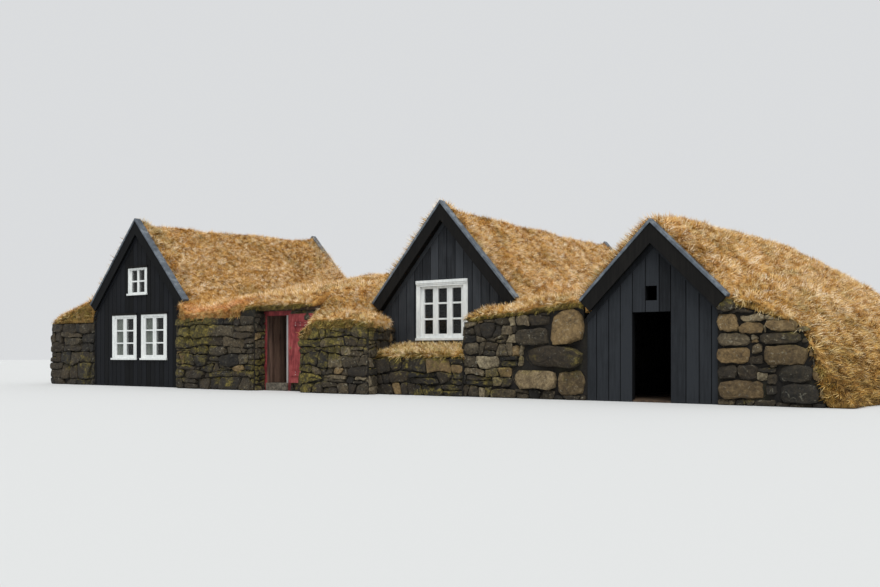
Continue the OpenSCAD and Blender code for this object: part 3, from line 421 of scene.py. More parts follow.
@dataclass(frozen=True)
class Boulder:
    """Weathered basalt, lichened, with moss on its upper sides and in patches."""

    name: str
    moss: float

    def material(self) -> Material:
        """Makes the material.

        Returns:
            The material.
        """
        m = Shader(self.name)
        tone = m.attribute("tone")
        grain = m.noise(17, 8, 0.75)
        patch = m.noise(4.5, 6, 0.7, warp=0.6)
        value = tone * 0.75 + patch * 0.65 + grain * 0.95 - 0.7
        grey = m.ramp(value, (0.12, "#0d0b08"), (0.38, "#2b2519"), (0.62, "#544a38"), (0.88, "#93876c"))
        warm = m.ramp(patch * 0.45 + grain * 0.55, (0.36, "#3d2f1c"), (0.52, "#755f3c"), (0.68, "#a0875c"))
        stone = m.mix(m.attribute("tan"), grey, warm)
        lichen = m.noise(13, 4, 0.6, warp=1.2).band(0.6, 0.68) * 0.6
        stone = m.mix(lichen * (0.3 + 0.7 * tone), stone, shade("#aaa692"))
        up = m.node("ShaderNodeSeparateXYZ", {}, {0: m.node("ShaderNodeNewGeometry", out="Normal")}, 2)
        region = m.noise(0.75, 3, 0.5)
        spread = region * 0.8 + m.noise(4.2, 6, 0.72) * 0.55 + up * 0.1 + self.moss * 0.12
        growth = spread.band(0.78, 0.9) * (0.45 + 0.55 * self.moss)
        green = m.ramp(grain * 0.6 + patch * 0.4, (0.37, "#1a1706"), (0.5, "#463e13"), (0.6, "#7f7130"))
        colour = m.mix(growth, stone, green)
        return m.close(colour, 0.85 + 0.1 * grain, grain * 0.65 + patch * 0.35, 0.035, 0.9)


@dataclass(frozen=True)
class Sod:
    """The matted ground of the turf between the blades."""

    name: str = "sod"

    def material(self) -> Material:
        """Makes the material.

        Returns:
            The material.
        """
        m = Shader(self.name)
        broad = m.noise(0.8, 5, 0.6)
        tuft = m.noise(9, 6, 0.7, warp=0.5)
        dry = m.ramp(tuft * 0.6 + broad * 0.4, (0.36, "#7d5322"), (0.5, "#c8954c"), (0.66, "#eecb8c"))
        green = m.maths("MAXIMUM", m.noise(1.5, 4, 0.6).band(0.56, 0.7) * 0.4, m.attribute("olive"))
        return m.close(m.mix(green, dry, shade("#463e16")), 0.95, tuft, 0.05, 0.8)


@dataclass(frozen=True)
class Straw:
    """Tufts of dry grass, dark at the root and pale at the tip, olive and rust in places."""

    name: str = "straw"

    def material(self) -> Material:
        """Makes the material.

        Returns:
            The material.
        """
        m = Shader(self.name)
        tone, along, blade = m.attribute("tone"), m.attribute("along"), m.attribute("blade")
        broad = m.noise(0.8, 4, 0.6)
        clump = m.noise(4.2, 4, 0.65, warp=0.4)
        value = tone * 0.9 + blade * 0.2 + along * 0.1 + clump * 0.4 + broad * 0.3 - 0.45
        # Darker where marked dim: low on the bank, and as painted shade under the turf lips.
        value = value - m.attribute("dim") * 0.38
        dry = m.ramp(value, (0.05, "#583b14"), (0.22, "#a36f27"), (0.4, "#dba852"), (0.58, "#f2cc85"),
                     (0.76, "#fae4b8"), (0.95, "#fff4dc"))
        rust = m.ramp(value, (0.08, "#804517"), (0.45, "#e59c50"), (0.85, "#fbd6a4"))
        moss = m.ramp(value, (0.1, "#2f290e"), (0.5, "#796a28"), (0.9, "#c9b25f"))
        colour = m.mix(m.attribute("rust"), dry, rust)
        patch = m.noise(1.3, 5, 0.65).band(0.5, 0.66) * 0.5
        edge = (m.attribute("olive") + m.noise(6, 3, 0.6) - 0.5).band(0.2, 0.8)
        colour = m.mix(m.maths("MAXIMUM", patch, edge), colour, moss)
        # Darker toward each blade's root: partly painted shade deep in the tuft.
        root = (1 - along) ** 2 * 0.15
        return m.close(m.mix(root, colour, shade("#4a2f15")), 0.8, Specular_IOR_Level=0.25)


@dataclass(frozen=True)
class WhitePaint:
    """White window paint, a little weathered."""

    name: str = "white_paint"

    def material(self) -> Material:
        """Makes the material.

        Returns:
            The material.
        """
        m = Shader(self.name)
        grain = m.noise(14, 5, 0.6, (1, 1, 0.3))
        dirt = m.noise(3.3, 5, 0.7).band(0.55, 0.72)
        colour = m.mix(dirt * 0.3, m.ramp(grain, (0.3, "#ced2d1"), (0.7, "#e9ebe8")), shade("#a5a69e"))
        return m.close(colour, 0.45 + 0.25 * grain, grain, 0.002, 0.4)


@dataclass(frozen=True)
class Pane:
    """Thin old window glass, tinted dark grey as painted shade of the unlit room behind it."""

    name: str = "pane"

    def material(self) -> Material:
        """Makes the material.

        Returns:
            The material.
        """
        m = Shader(self.name)
        ripple = m.noise(5, 2, 0.5)
        # Dark grey base colour: painted shade of the room behind the glass.
        return m.close(shade("#2a2c2b"), 0.08, ripple, 0.002, 0.15, Alpha=0.3)


@dataclass(frozen=True)
class Netting:
    """Pale grey-green net, closely woven."""

    name: str = "netting"

    def material(self) -> Material:
        """Makes the material.

        Returns:
            The material.
        """
        m = Shader(self.name)
        weave = m.node("ShaderNodeTexChecker", {}, {"Vector": m.place, "Scale": 420.0}, 1)
        fold = m.noise(9, 4, 0.6, (1, 1, 0.15))
        colour = m.ramp(fold * 0.85 + weave * 0.12, (0.3, "#8f9a8e"), (0.7, "#cdd5ca"))
        return m.close(colour, 0.9, weave, 0.0005, 0.3)


def settle(piece: Object, body: Body, slot: Slot, *nodes: str) -> None:
    """Makes a finished piece part of the house and logs it.

    Args:
        piece: The object, at the origin, with its place in its mesh.
        body: The body that it moves with.
        slot: A material slot; not used.
        nodes: The solids that it stands for.
    """
    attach(piece, body.value)
    if nodes:
        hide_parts(*nodes)
    triangles = sum(len(p.vertices) - 2 for p in piece.data.polygons)
    log.info("%s: %d triangles", piece.name, triangles)


def link(piece: Object) -> Object:
    """Puts an object in the scene."""
    bpy.context.scene.collection.objects.link(piece)
    return piece


def store(mesh: Mesh, numbers: dict[str, Sequence[float]]) -> None:
    """Keeps numbers on a mesh, one a point, by attribute name."""
    for key, values in numbers.items():
        mesh.attributes.new(key, "FLOAT", "POINT").data.foreach_set("value", np.asarray(values, np.float32))


def repaint(mesh: Mesh, *materials: Material) -> None:
    """Gives a mesh these materials alone.

    Args:
        mesh: The mesh.
        materials: The materials, in order.
    """
    mesh.materials.clear()
    for material in materials:
        mesh.materials.append(material)


def unit(value: float) -> float:
    """Holds a value between 0 and 1."""
    return min(1.0, max(0.0, value))


def rows_joined(gaps: int, n: int, first: int = 0, closed: bool = True) -> list[tuple[int, ...]]:
    """Faces between rows of n points each, which are rings where closed."""
    return [(row + i, row + (i + 1) % n, row + n + (i + 1) % n, row + n + i)
            for row in range(first, first + gaps * n, n) for i in range(n if closed else n - 1)]


def new_piece(name: str, verts: Sequence, faces: Sequence, material: Material, smooth: bool = False,
              numbers: Optional[dict[str, Sequence[float]]] = None) -> Object:
    """Makes an object from points and faces.

    Args:
        name: The object's name.
        verts: Its points in metres.
        faces: The points of each face, in order seen from outside.
        material: Its material.
        smooth: Whether it is shaded smooth.
        numbers: One number a point, by attribute name.

    Returns:
        The object.
    """
    mesh = bpy.data.meshes.new(name)
    mesh.from_pydata([tuple(v) for v in verts], [], [tuple(f) for f in faces])
    store(mesh, numbers or {})
    mesh.materials.append(material)
    mesh.polygons.foreach_set("use_smooth", [smooth] * len(mesh.polygons))
    mesh.update()
    return link(bpy.data.objects.new(name, mesh))


def baked(piece: Object) -> Object:
    """Applies an object's modifiers.

    Args:
        piece: An object with modifiers.

    Returns:
        A plain object of the same name; the old one is removed.
    """
    name = piece.name
    bpy.context.view_layer.update()
    graph = bpy.context.evaluated_depsgraph_get()
    mesh = bpy.data.meshes.new_from_object(piece.evaluated_get(graph), preserve_all_data_layers=True,
                                           depsgraph=graph)
    bpy.data.objects.remove(piece)
    plain = bpy.data.objects.new(name, mesh)
    plain.name = mesh.name = name
    return link(plain)


def eased(piece: Object, width: float) -> Object:
    """Takes the sharpness off a piece's edges.

    Args:
        piece: The piece.
        width: Width of the worn edge in metres.

    Returns:
        The piece with its edges worn.
    """
    bevel = piece.modifiers.new("worn", "BEVEL")
    bevel.width, bevel.segments, bevel.limit_method, bevel.angle_limit = width, 2, "ANGLE", math.radians(35)
    return baked(piece)


def from_shape(name: str, shape: bmesh.types.BMesh) -> Object:
    """Turns a finished shape into an object.

    Args:
        name: The object's name.
        shape: The shape; it is used up.

    Returns:
        The object.
    """
    mesh = bpy.data.meshes.new(name)
    shape.to_mesh(mesh)
    shape.free()
    return link(bpy.data.objects.new(name, mesh))


def solid_copy(name: str, *nodes: str) -> Object:
    """Copies solids into one piece with closed seams.

    Args:
        name: The copy's name.
        nodes: The solids.

    Returns:
        The copy, unfinished.
    """
    shape = bmesh.new()
    for node in nodes:
        shape.from_mesh(frame["nodes"][node].data)
    bmesh.ops.remove_doubles(shape, verts=shape.verts, dist=0.0002)
    bmesh.ops.dissolve_limit(shape, angle_limit=0.004, verts=shape.verts, edges=shape.edges)
    return from_shape(name, shape)


@dataclass(frozen=True)
class House:
    """The sizes of one gabled house, in metres, as the solids have them."""

    ridge: float
    front: float
    half: float
    eave: float
    apex: float
    length: float
    rise: float
    overhang: float

    @property
    def pitch(self) -> float:
        """Fall of the roof for each metre out from the ridge."""
        return (self.apex - self.eave) / self.half

    @property
    def rear(self) -> float:
        """Depth of the rear gable's face."""
        return self.front + self.length

    def roof(self, x: float, y: float, drop: float = 0.0) -> float:
        """Height of a plane that lies a drop under the cap boards' top."""
        climb = self.rise / self.length * (y - self.front)
        return self.apex - drop - self.pitch * abs(x - self.ridge) + climb

    def from_end(self, y: float) -> float:
        """Distance from the nearer end of the roof."""
        return min(y - self.front + self.overhang, self.rear + self.overhang - y)


LEFT = House(-10.21, 0.0, 2.185, 2.48, 4.95, 7.6, 0.31, 0.11)
MIDDLE = House(0.0, 1.2, 2.09, 2.23, 4.64, 9.2, 0.0, 0.25)
RIGHT = House(5.73, 0.0, 1.5, 2.04, 3.56, 10.4, 0.3, 0.22)


class Growth(Tree):
    """A Geometry Nodes tree with named inputs, run on one object and applied."""

    KINDS = {float: "NodeSocketFloat", int: "NodeSocketInt", Object: "NodeSocketObject",
             Material: "NodeSocketMaterial"}

    def __init__(self, name: str) -> None:
        """Starts a tree with a mesh as its first input.

        Args:
            name: The tree's name.
        """
        group = bpy.data.node_groups.new(name, "GeometryNodeTree")
        super().__init__(group)
        self.start = group.nodes.new("NodeGroupInput")
        self.end = group.nodes.new("NodeGroupOutput")
        group.interface.new_socket("Geometry", in_out="INPUT", socket_type="NodeSocketGeometry")
        group.interface.new_socket("Geometry", in_out="OUTPUT", socket_type="NodeSocketGeometry")
        self.mesh = Sock(self, self.start.outputs[0])
        self.names: dict[str, str] = {}

    def take(self, name: str, kind: type) -> Sock:
        """Adds a named input.

        Args:
            name: What the input is called.
            kind: The type of its values.

        Returns:
            The input's value.
        """
        made = self.tree.interface.new_socket(name, in_out="INPUT", socket_type=self.KINDS[kind])
        self.names[name] = made.identifier
        return Sock(self, self.start.outputs[name])

    def carried(self, name: str) -> Sock:
        """Reads a number that the mesh carries."""
        settings = {"data_type": "FLOAT"}
        return self.node("GeometryNodeInputNamedAttribute", settings, {"Name": name}, "Attribute")

    def chance(self, low: float, high: float, seed: Value) -> Sock:
        """Adds a random number for each point."""
        return self.node("FunctionNodeRandomValue", {"data_type": "FLOAT"}, {2: low, 3: high, 8: seed}, 1)

    def close(self, geometry: Sock, material: Sock) -> None:
        """Ends the tree: copies become mesh and get their material.

        Args:
            geometry: What the tree made.
            material: The material of all of it.
        """
        real = self.node("GeometryNodeRealizeInstances", {}, {0: geometry})
        painted = self.node("GeometryNodeSetMaterial", {}, {"Geometry": real, "Material": material})
        self.tree.links.new(painted.socket, self.end.inputs[0])

    def run(self, piece: Object, name: str, **values: object) -> Object:
        """Runs the tree on an object.

        Args:
            piece: The object; it is used up.
            name: The name of the result.
            values: Input values by name, with _ for a space.

        Returns:
            The result as a plain mesh object.
        """
        piece.name = name
        work = piece.modifiers.new("growth", "NODES")
        work.node_group = self.tree
        for key, value in values.items():
            work[self.names[key.replace("_", " ")]] = value
        return baked(piece)


class GrassTree(Growth):
    """Scatters tufts over turf and lays them down its slope."""

    CLUMPS, SWIRLS, PULL = 3.2, 1.1, 1.9
    HANG = (-0.45, -1.0, 0.35)
    RISES, REACHES = (0.1, 1.7), (0.6, 1.35)

    def __init__(self) -> None:
        """Builds the tree."""
        super().__init__("grass")
        density = self.take("Density", float)
        length = self.take("Length", float)
        lift = self.take("Lift", float)
        tangle = self.take("Tangle", float)
        seed = self.take("Seed", int)
        tuft = self.take("Tuft", Object)
        finish = self.take("Finish", Material)
        place = self.node("GeometryNodeInputPosition")
        clump = self.node("ShaderNodeTexNoise", {}, {"Vector": place, "Scale": self.CLUMPS, "Detail": 2.0})
        fringe = self.carried("fringe")
        thick = density * self.carried("growth") * (fringe * 3 + 1)
        spread = self.tree.nodes.new("GeometryNodeDistributePointsOnFaces")
        for key, value in (("Mesh", self.mesh), ("Density", thick), ("Seed", seed)):
            self.tree.links.new(value.socket, spread.inputs[key])
        points, face = Sock(self, spread.outputs["Points"]), Sock(self, spread.outputs["Normal"])
        swirl = self.node("ShaderNodeTexNoise", {}, {"Vector": place, "Scale": self.SWIRLS, "Detail": 3.0}, 1)
        swirl = self.vector("SUBTRACT", swirl, (0.5, 0.5, 0.5))
        stray = self.node("FunctionNodeRandomValue", {"data_type": "FLOAT_VECTOR"},
                          {0: (-1.0, -1.0, -1.0), 1: (1.0, 1.0, 1.0), 8: seed}, 0)
        pull = self.vector("ADD", (0.0, 0.0, -1.0), self.vector("SCALE", swirl, self.PULL))
        pull = self.vector("ADD", pull, self.vector("SCALE", stray, tangle))
        into = self.vector("DOT_PRODUCT", pull, face, out=1)
        lying = self.vector("NORMALIZE", self.vector("SUBTRACT", pull, self.vector("SCALE", face, into)))
        rise = lift * self.chance(*self.RISES, seed + 7) * (clump * 1.2 + 0.4) + fringe * 1.2
        heading = self.vector("ADD", lying, self.vector("SCALE", face, rise))
        heading = self.vector("ADD", heading, self.vector("SCALE", self.HANG, fringe * self.carried("over")))
        turn = self.node("FunctionNodeAlignRotationToVector", {"axis": "Y"}, {"Vector": heading})
        turn = self.node("FunctionNodeAlignRotationToVector", {"axis": "Z", "pivot_axis": "Y"},
                         {"Rotation": turn, "Vector": face})
        reach = length * self.chance(*self.REACHES, seed + 1) * (clump * 0.9 + 0.55 + fringe * 0.85)
        toned = self.node("GeometryNodeStoreNamedAttribute", {"data_type": "FLOAT", "domain": "POINT"},
                          {"Geometry": points, "Name": "tone", "Value": self.chance(0.0, 1.0, seed + 3)})
        shape = self.node("GeometryNodeObjectInfo", {}, {"Object": tuft}, "Geometry")
        grown = self.node("GeometryNodeInstanceOnPoints", {}, {"Points": toned, "Instance": shape,
                                                               "Rotation": turn, "Scale": reach})
        self.close(grown, finish)


def grass_tuft() -> Object:
    """Makes a tuft a metre long, a fan of blades, for the grass to copy.

    Returns:
        The object.
    """
    fan = ((-0.5, 0.85, 0.12, 0.1), (0.05, 1.1, 0.3, 0.9), (0.5, 0.95, 0.05, 0.5))
    verts: list[Point] = []
    along: list[float] = []
    blade: list[float] = []
    for turn, reach, rise, tone in fan:
        ahead, side = (math.sin(turn), math.cos(turn)), (math.cos(turn), -math.sin(turn))
        foot = (turn * 0.25, 0.12 * tone)
        for half in (-0.055, 0.055):
            verts.append((foot[0] + side[0] * half, foot[1] + side[1] * half, 0.0))
        verts.append((foot[0] + ahead[0] * reach, foot[1] + ahead[1] * reach, rise))
        along += [0.0, 0.0, 1.0]
        blade += [tone] * 3
    faces = [(i, i + 1, i + 2) for i in range(0, len(verts), 3)]
    numbers = {"along": along, "blade": blade}
    return new_piece("tuft", verts, faces, bpy.data.materials.new("none"), numbers=numbers)


@dataclass(frozen=True)
class TurfPiece:
    """One stretch of turf: the solids that it stands for, how it is grown and where it isn't."""

    name: str
    nodes: tuple[str, ...]
    caps: Optional[House] = None
    density: float = 650.0
    length: float = 0.11
    lift: float = 0.6
    hidden: tuple[float, ...] = ()
    lip: float = -9.0
    lip_olive: float = 0.6
    rust_to: float = -99.0
    olive: float = 0.0
    low_olive: float = 0.0
    low_dim: float = 0.0


@dataclass
class Turf:
    """All the turf of the farm, with its grass."""

    voxel: float = 0.075
    keep: float = 0.3
    lump: float = 0.05
    cap_clear: float = 0.45
    cap_bare: float = 0.2
    rear_bare: float = 0.04
    cap_past: float = 0.05
    front_deep: float = 1.5
    fringe_deep: float = 0.7
    ridge_fade: float = 1.4
    lip_deep: float = 0.45
    low_height: float = 2.1
    tangle: float = 1.2
    highest: float = 5.41
    floor_gap: float = 0.004
    roll_low: float = 2.02
    roll_line: tuple[Point, ...] = ((-5.85, -0.2, 2.08), (-5.4, -0.12, 2.15), (-4.9, -0.02, 2.2),
                                    (-4.3, 0.0, 2.22), (-3.3, -0.02, 2.2))
    roll_rings: int = 40
    roll_sides: int = 14
    roll_thick: Pair = (0.15, 0.115)
    roll_lump: float = 0.35
    roll_grass: TurfPiece = TurfPiece("door_head_turf", (), density=1500, length=0.09, lip=0.5, lip_olive=0.9,
                                      olive=0.15)
    pieces: tuple[TurfPiece, ...] = (
        TurfPiece("left_turf", ("left_roof_turf",), LEFT, hidden=(-8.025,), lip=-0.05, olive=0.12),
        TurfPiece("passage_turf", ("entry_turf",), hidden=(-8.025, -3.2), lip=-0.1, lip_olive=0.5,
                  rust_to=-5.3),
        TurfPiece("middle_turf", ("middle_roof_turf",), MIDDLE, hidden=(-3.2,)),
        TurfPiece("jutting_turf", ("jutting_wall_turf",), density=950, length=0.09, lip=-0.45, lip_olive=0.75,
                  olive=0.1),
        TurfPiece("terrace_grass", ("terrace_turf",), density=1500, length=0.125, lift=0.35, lip=-0.02,
                  lip_olive=1.0, olive=0.46),
        TurfPiece("shared_turf", ("shared_wall_turf",), density=850, length=0.1, hidden=(4.23,), lip=0.0,
                  lip_olive=0.9, olive=0.2),
        TurfPiece("right_turf", ("right_roof_turf",), RIGHT, hidden=(4.23, 7.23)),
        TurfPiece("right_bank_turf", ("right_turf_bank",), hidden=(7.23,), lip=0.0, lip_olive=0.5, olive=0.2,
                  low_olive=0.25, low_dim=0.95),
    )

    def build(self) -> None:
        """Makes every stretch of turf and its grass."""
        sod, straw = Sod().material(), Straw().material()
        tree, tuft = GrassTree(), grass_tuft()
        skins = [self.skin(item, sod) for item in self.pieces] + [self.door_roll(sod)]
        for seed, (item, skin) in enumerate(zip(self.pieces + (self.roll_grass,), skins)):
            copy = link(bpy.data.objects.new("seedbed", skin.data.copy()))
            grass = tree.run(copy, item.name + "_grass", Density=item.density, Length=item.length,
                             Lift=item.lift, Tangle=self.tangle, Seed=seed * 11, Tuft=tuft, Finish=straw)
            self.within(grass.data, self.roll_low if item is self.roll_grass else self.floor_gap)
            settle(skin, Body.HOUSE, Slot.TURF, *item.nodes)
            settle(grass, Body.HOUSE, Slot.TURF)
        bpy.data.objects.remove(tuft)

    def door_roll(self, sod: Material) -> Object:
        """Makes the roll of turf that hangs over the head of the red doorway.

        Args:
            sod: Its material.

        Returns:
            The object.
        """
        rings, sides, verts = self.roll_rings, self.roll_sides, []
        xs, ys, zs = zip(*self.roll_line)
        for i in range(rings + 1):
            x = xs[0] + (xs[-1] - xs[0]) * i / rings
            y, z = float(np.interp(x, xs, ys)), float(np.interp(x, xs, zs))
            fat = math.sin(math.pi * min(0.98, max(0.02, i / rings))) ** 0.4
            for k in range(sides):
                angle = 2 * math.pi * k / sides
                ahead, up = math.cos(angle), math.sin(angle)
                swell = fat * (1 + self.roll_lump * noise.noise(Vector((x * 3, ahead, up))))
                verts.append((x, y + self.roll_thick[0] * swell * ahead, z + self.roll_thick[1] * swell * up))
        ends = [tuple(range(sides))[::-1], tuple(range(rings * sides, (rings + 1) * sides))]
        piece = new_piece("door_head_turf", verts, rows_joined(rings, sides) + ends, sod, True)
        self.mark(piece.data, self.roll_grass)
        return piece

    def skin(self, item: TurfPiece, sod: Material) -> Object:
        """Makes one stretch of turf from the solids that it stands for, rounded and lumpy.

        Args:
            item: The stretch.
            sod: Its material.

        Returns:
            The object.
        """
        skin = solid_copy(item.name, *item.nodes)
        melt = skin.modifiers.new("melt", "REMESH")
        melt.mode, melt.voxel_size = "VOXEL", self.voxel
        thin = skin.modifiers.new("thin", "DECIMATE")
        thin.ratio = self.keep
        skin = baked(skin)
        self.roughen(skin.data, item)
        self.within(skin.data, self.floor_gap)
        self.mark(skin.data, item)
        repaint(skin.data, sod)
        skin.data.polygons.foreach_set("use_smooth", [True] * len(skin.data.polygons))
        return skin

    def roughen(self, mesh: Mesh, item: TurfPiece) -> None:
        """Gives the top of a stretch of turf its lumps, away from the cap boards.

        Args:
            mesh: The turf's mesh.
            item: The stretch.
        """
        for vert in mesh.vertices:
            up = max(0.0, vert.normal.z + 0.2)
            clear = unit((item.caps.from_end(vert.co.y) - 0.08) / self.cap_clear) if item.caps else 1.0
            broad = noise.noise(vert.co * 0.9) + 0.6 * noise.noise(vert.co * 2.7 + Vector((7, 3, 1)))
            fine = noise.noise(vert.co * 6.5)
            vert.co += vert.normal * (up * clear * (self.lump * broad + 0.5 * self.lump * fine))

    def mark(self, mesh: Mesh, item: TurfPiece) -> None:
        """Marks where grass grows, is tall or leans out, and where it is olive, rust or dark; the dark under
        the lips is painted shade.

        Args:
            mesh: The turf's mesh.
            item: The stretch.
        """
        keys = ("growth", "olive", "rust", "fringe", "over", "dim")
        marks: dict[str, list[float]] = {key: [] for key in keys}
        for vert in mesh.vertices:
            x, y, z = vert.co
            grows = 1.0 if vert.normal.z > -0.25 else 0.0
            low = unit(1 - z / self.low_height)
            green = item.olive + item.low_olive * low
            tall = lean = 0.0
            if item.caps and abs(x - item.caps.ridge) < item.caps.half + self.cap_past:
                end, left = item.caps.from_end(y), x < item.caps.ridge
                ahead = y < item.caps.front + self.front_deep
                bare = self.cap_bare if ahead else self.rear_bare
                grows *= 1.0 if end > bare else 0.0
                tall = unit(1 - (end - bare) / self.fringe_deep)
                if ahead:
                    green = max(green, 0.5 - max(0.0, end - 0.1) / 0.5)
                    tall *= 1.0 if left else 0.2
                    lean = float(left)
                else:
                    tall *= unit(abs(x - item.caps.ridge) / self.ridge_fade) * 0.8
            if any(abs(x - plane) < 0.08 and abs(vert.normal.x) > 0.6 for plane in item.hidden):
                grows = 0.0
            # Where the lip turns down, the grass is olive for hanging roots and dimmed as painted shade under
            # the overhang.
            near = unit(1 - (y - item.lip) / self.lip_deep)
            lip = near * unit((0.7 - vert.normal.z) / 0.5)
            values = (grows, min(1.0, max(green, item.lip_olive * lip)), near if x < item.rust_to else 0.0,
                      tall, lean, max(item.low_dim * low, 0.55 * lip))
            for key, value in zip(marks, values):
                marks[key].append(value)
        store(mesh, marks)

    def within(self, mesh: Mesh, low: float) -> None:
        """Keeps a mesh over a height and under the highest grass.

        Args:
            mesh: The mesh.
            low: The height.
        """
        places = np.empty(len(mesh.vertices) * 3, np.float32)
        mesh.vertices.foreach_get("co", places)
        places[2::3] = np.clip(places[2::3], low, self.highest)
        mesh.vertices.foreach_set("co", places)
        mesh.update()


def clipped(shape: Polygon, point: Pair, normal: Pair) -> Polygon:
    """Cuts a convex outline by a line and keeps the side behind it.

    Args:
        shape: The outline.
        point: A point on the line.
        normal: The direction that points to the side cut off.

    Returns:
        What is left, perhaps nothing.
    """
    kept: Polygon = []
    for (x0, y0), (x1, y1) in zip(shape, shape[1:] + shape[:1]):
        a = (x0 - point[0]) * normal[0] + (y0 - point[1]) * normal[1]
        b = (x1 - point[0]) * normal[0] + (y1 - point[1]) * normal[1]
        if a <= 0:
            kept.append((x0, y0))
        if (a < 0 < b) or (b < 0 < a):
            t = a / (a - b)
            kept.append((x0 + (x1 - x0) * t, y0 + (y1 - y0) * t))
    return kept


def signed_area(shape: Polygon) -> float:
    """Area inside an outline, negative where it runs clockwise."""
    return 0.5 * sum(x0 * y1 - x1 * y0 for (x0, y0), (x1, y1) in zip(shape, shape[1:] + shape[:1]))


def area(shape: Polygon) -> float:
    """Area inside an outline, 0 for less than a triangle."""
    return abs(signed_area(shape)) if len(shape) > 2 else 0.0


@dataclass(frozen=True)
class WallFace:
    """One upright face of a wall, from its left end to its right end as seen from outside."""

    start: Pair
    end: Pair
    tops: tuple[Pair, ...]
    wide: float = 0.42
    tall: float = 0.25
    tan: float = 0.06
    bottom: float = 0.0
    blocks: tuple[Block, ...] = ()

    @property
    def length(self) -> float:
        """Length of the face."""
        return math.hypot(self.end[0] - self.start[0], self.end[1] - self.start[1])

    def top(self, u: float) -> float:
        """Height of the face's top."""
        places, heights = zip(*self.tops)
        return float(np.interp(u, places, heights))

    def point(self, u: float, z: float, out: float) -> Point:
        """A point on or in front of the face."""
        dx, dy = ((b - a) / self.length for a, b in zip(self.start, self.end))
        return self.start[0] + dx * u + dy * out, self.start[1] + dy * u - dx * out, z


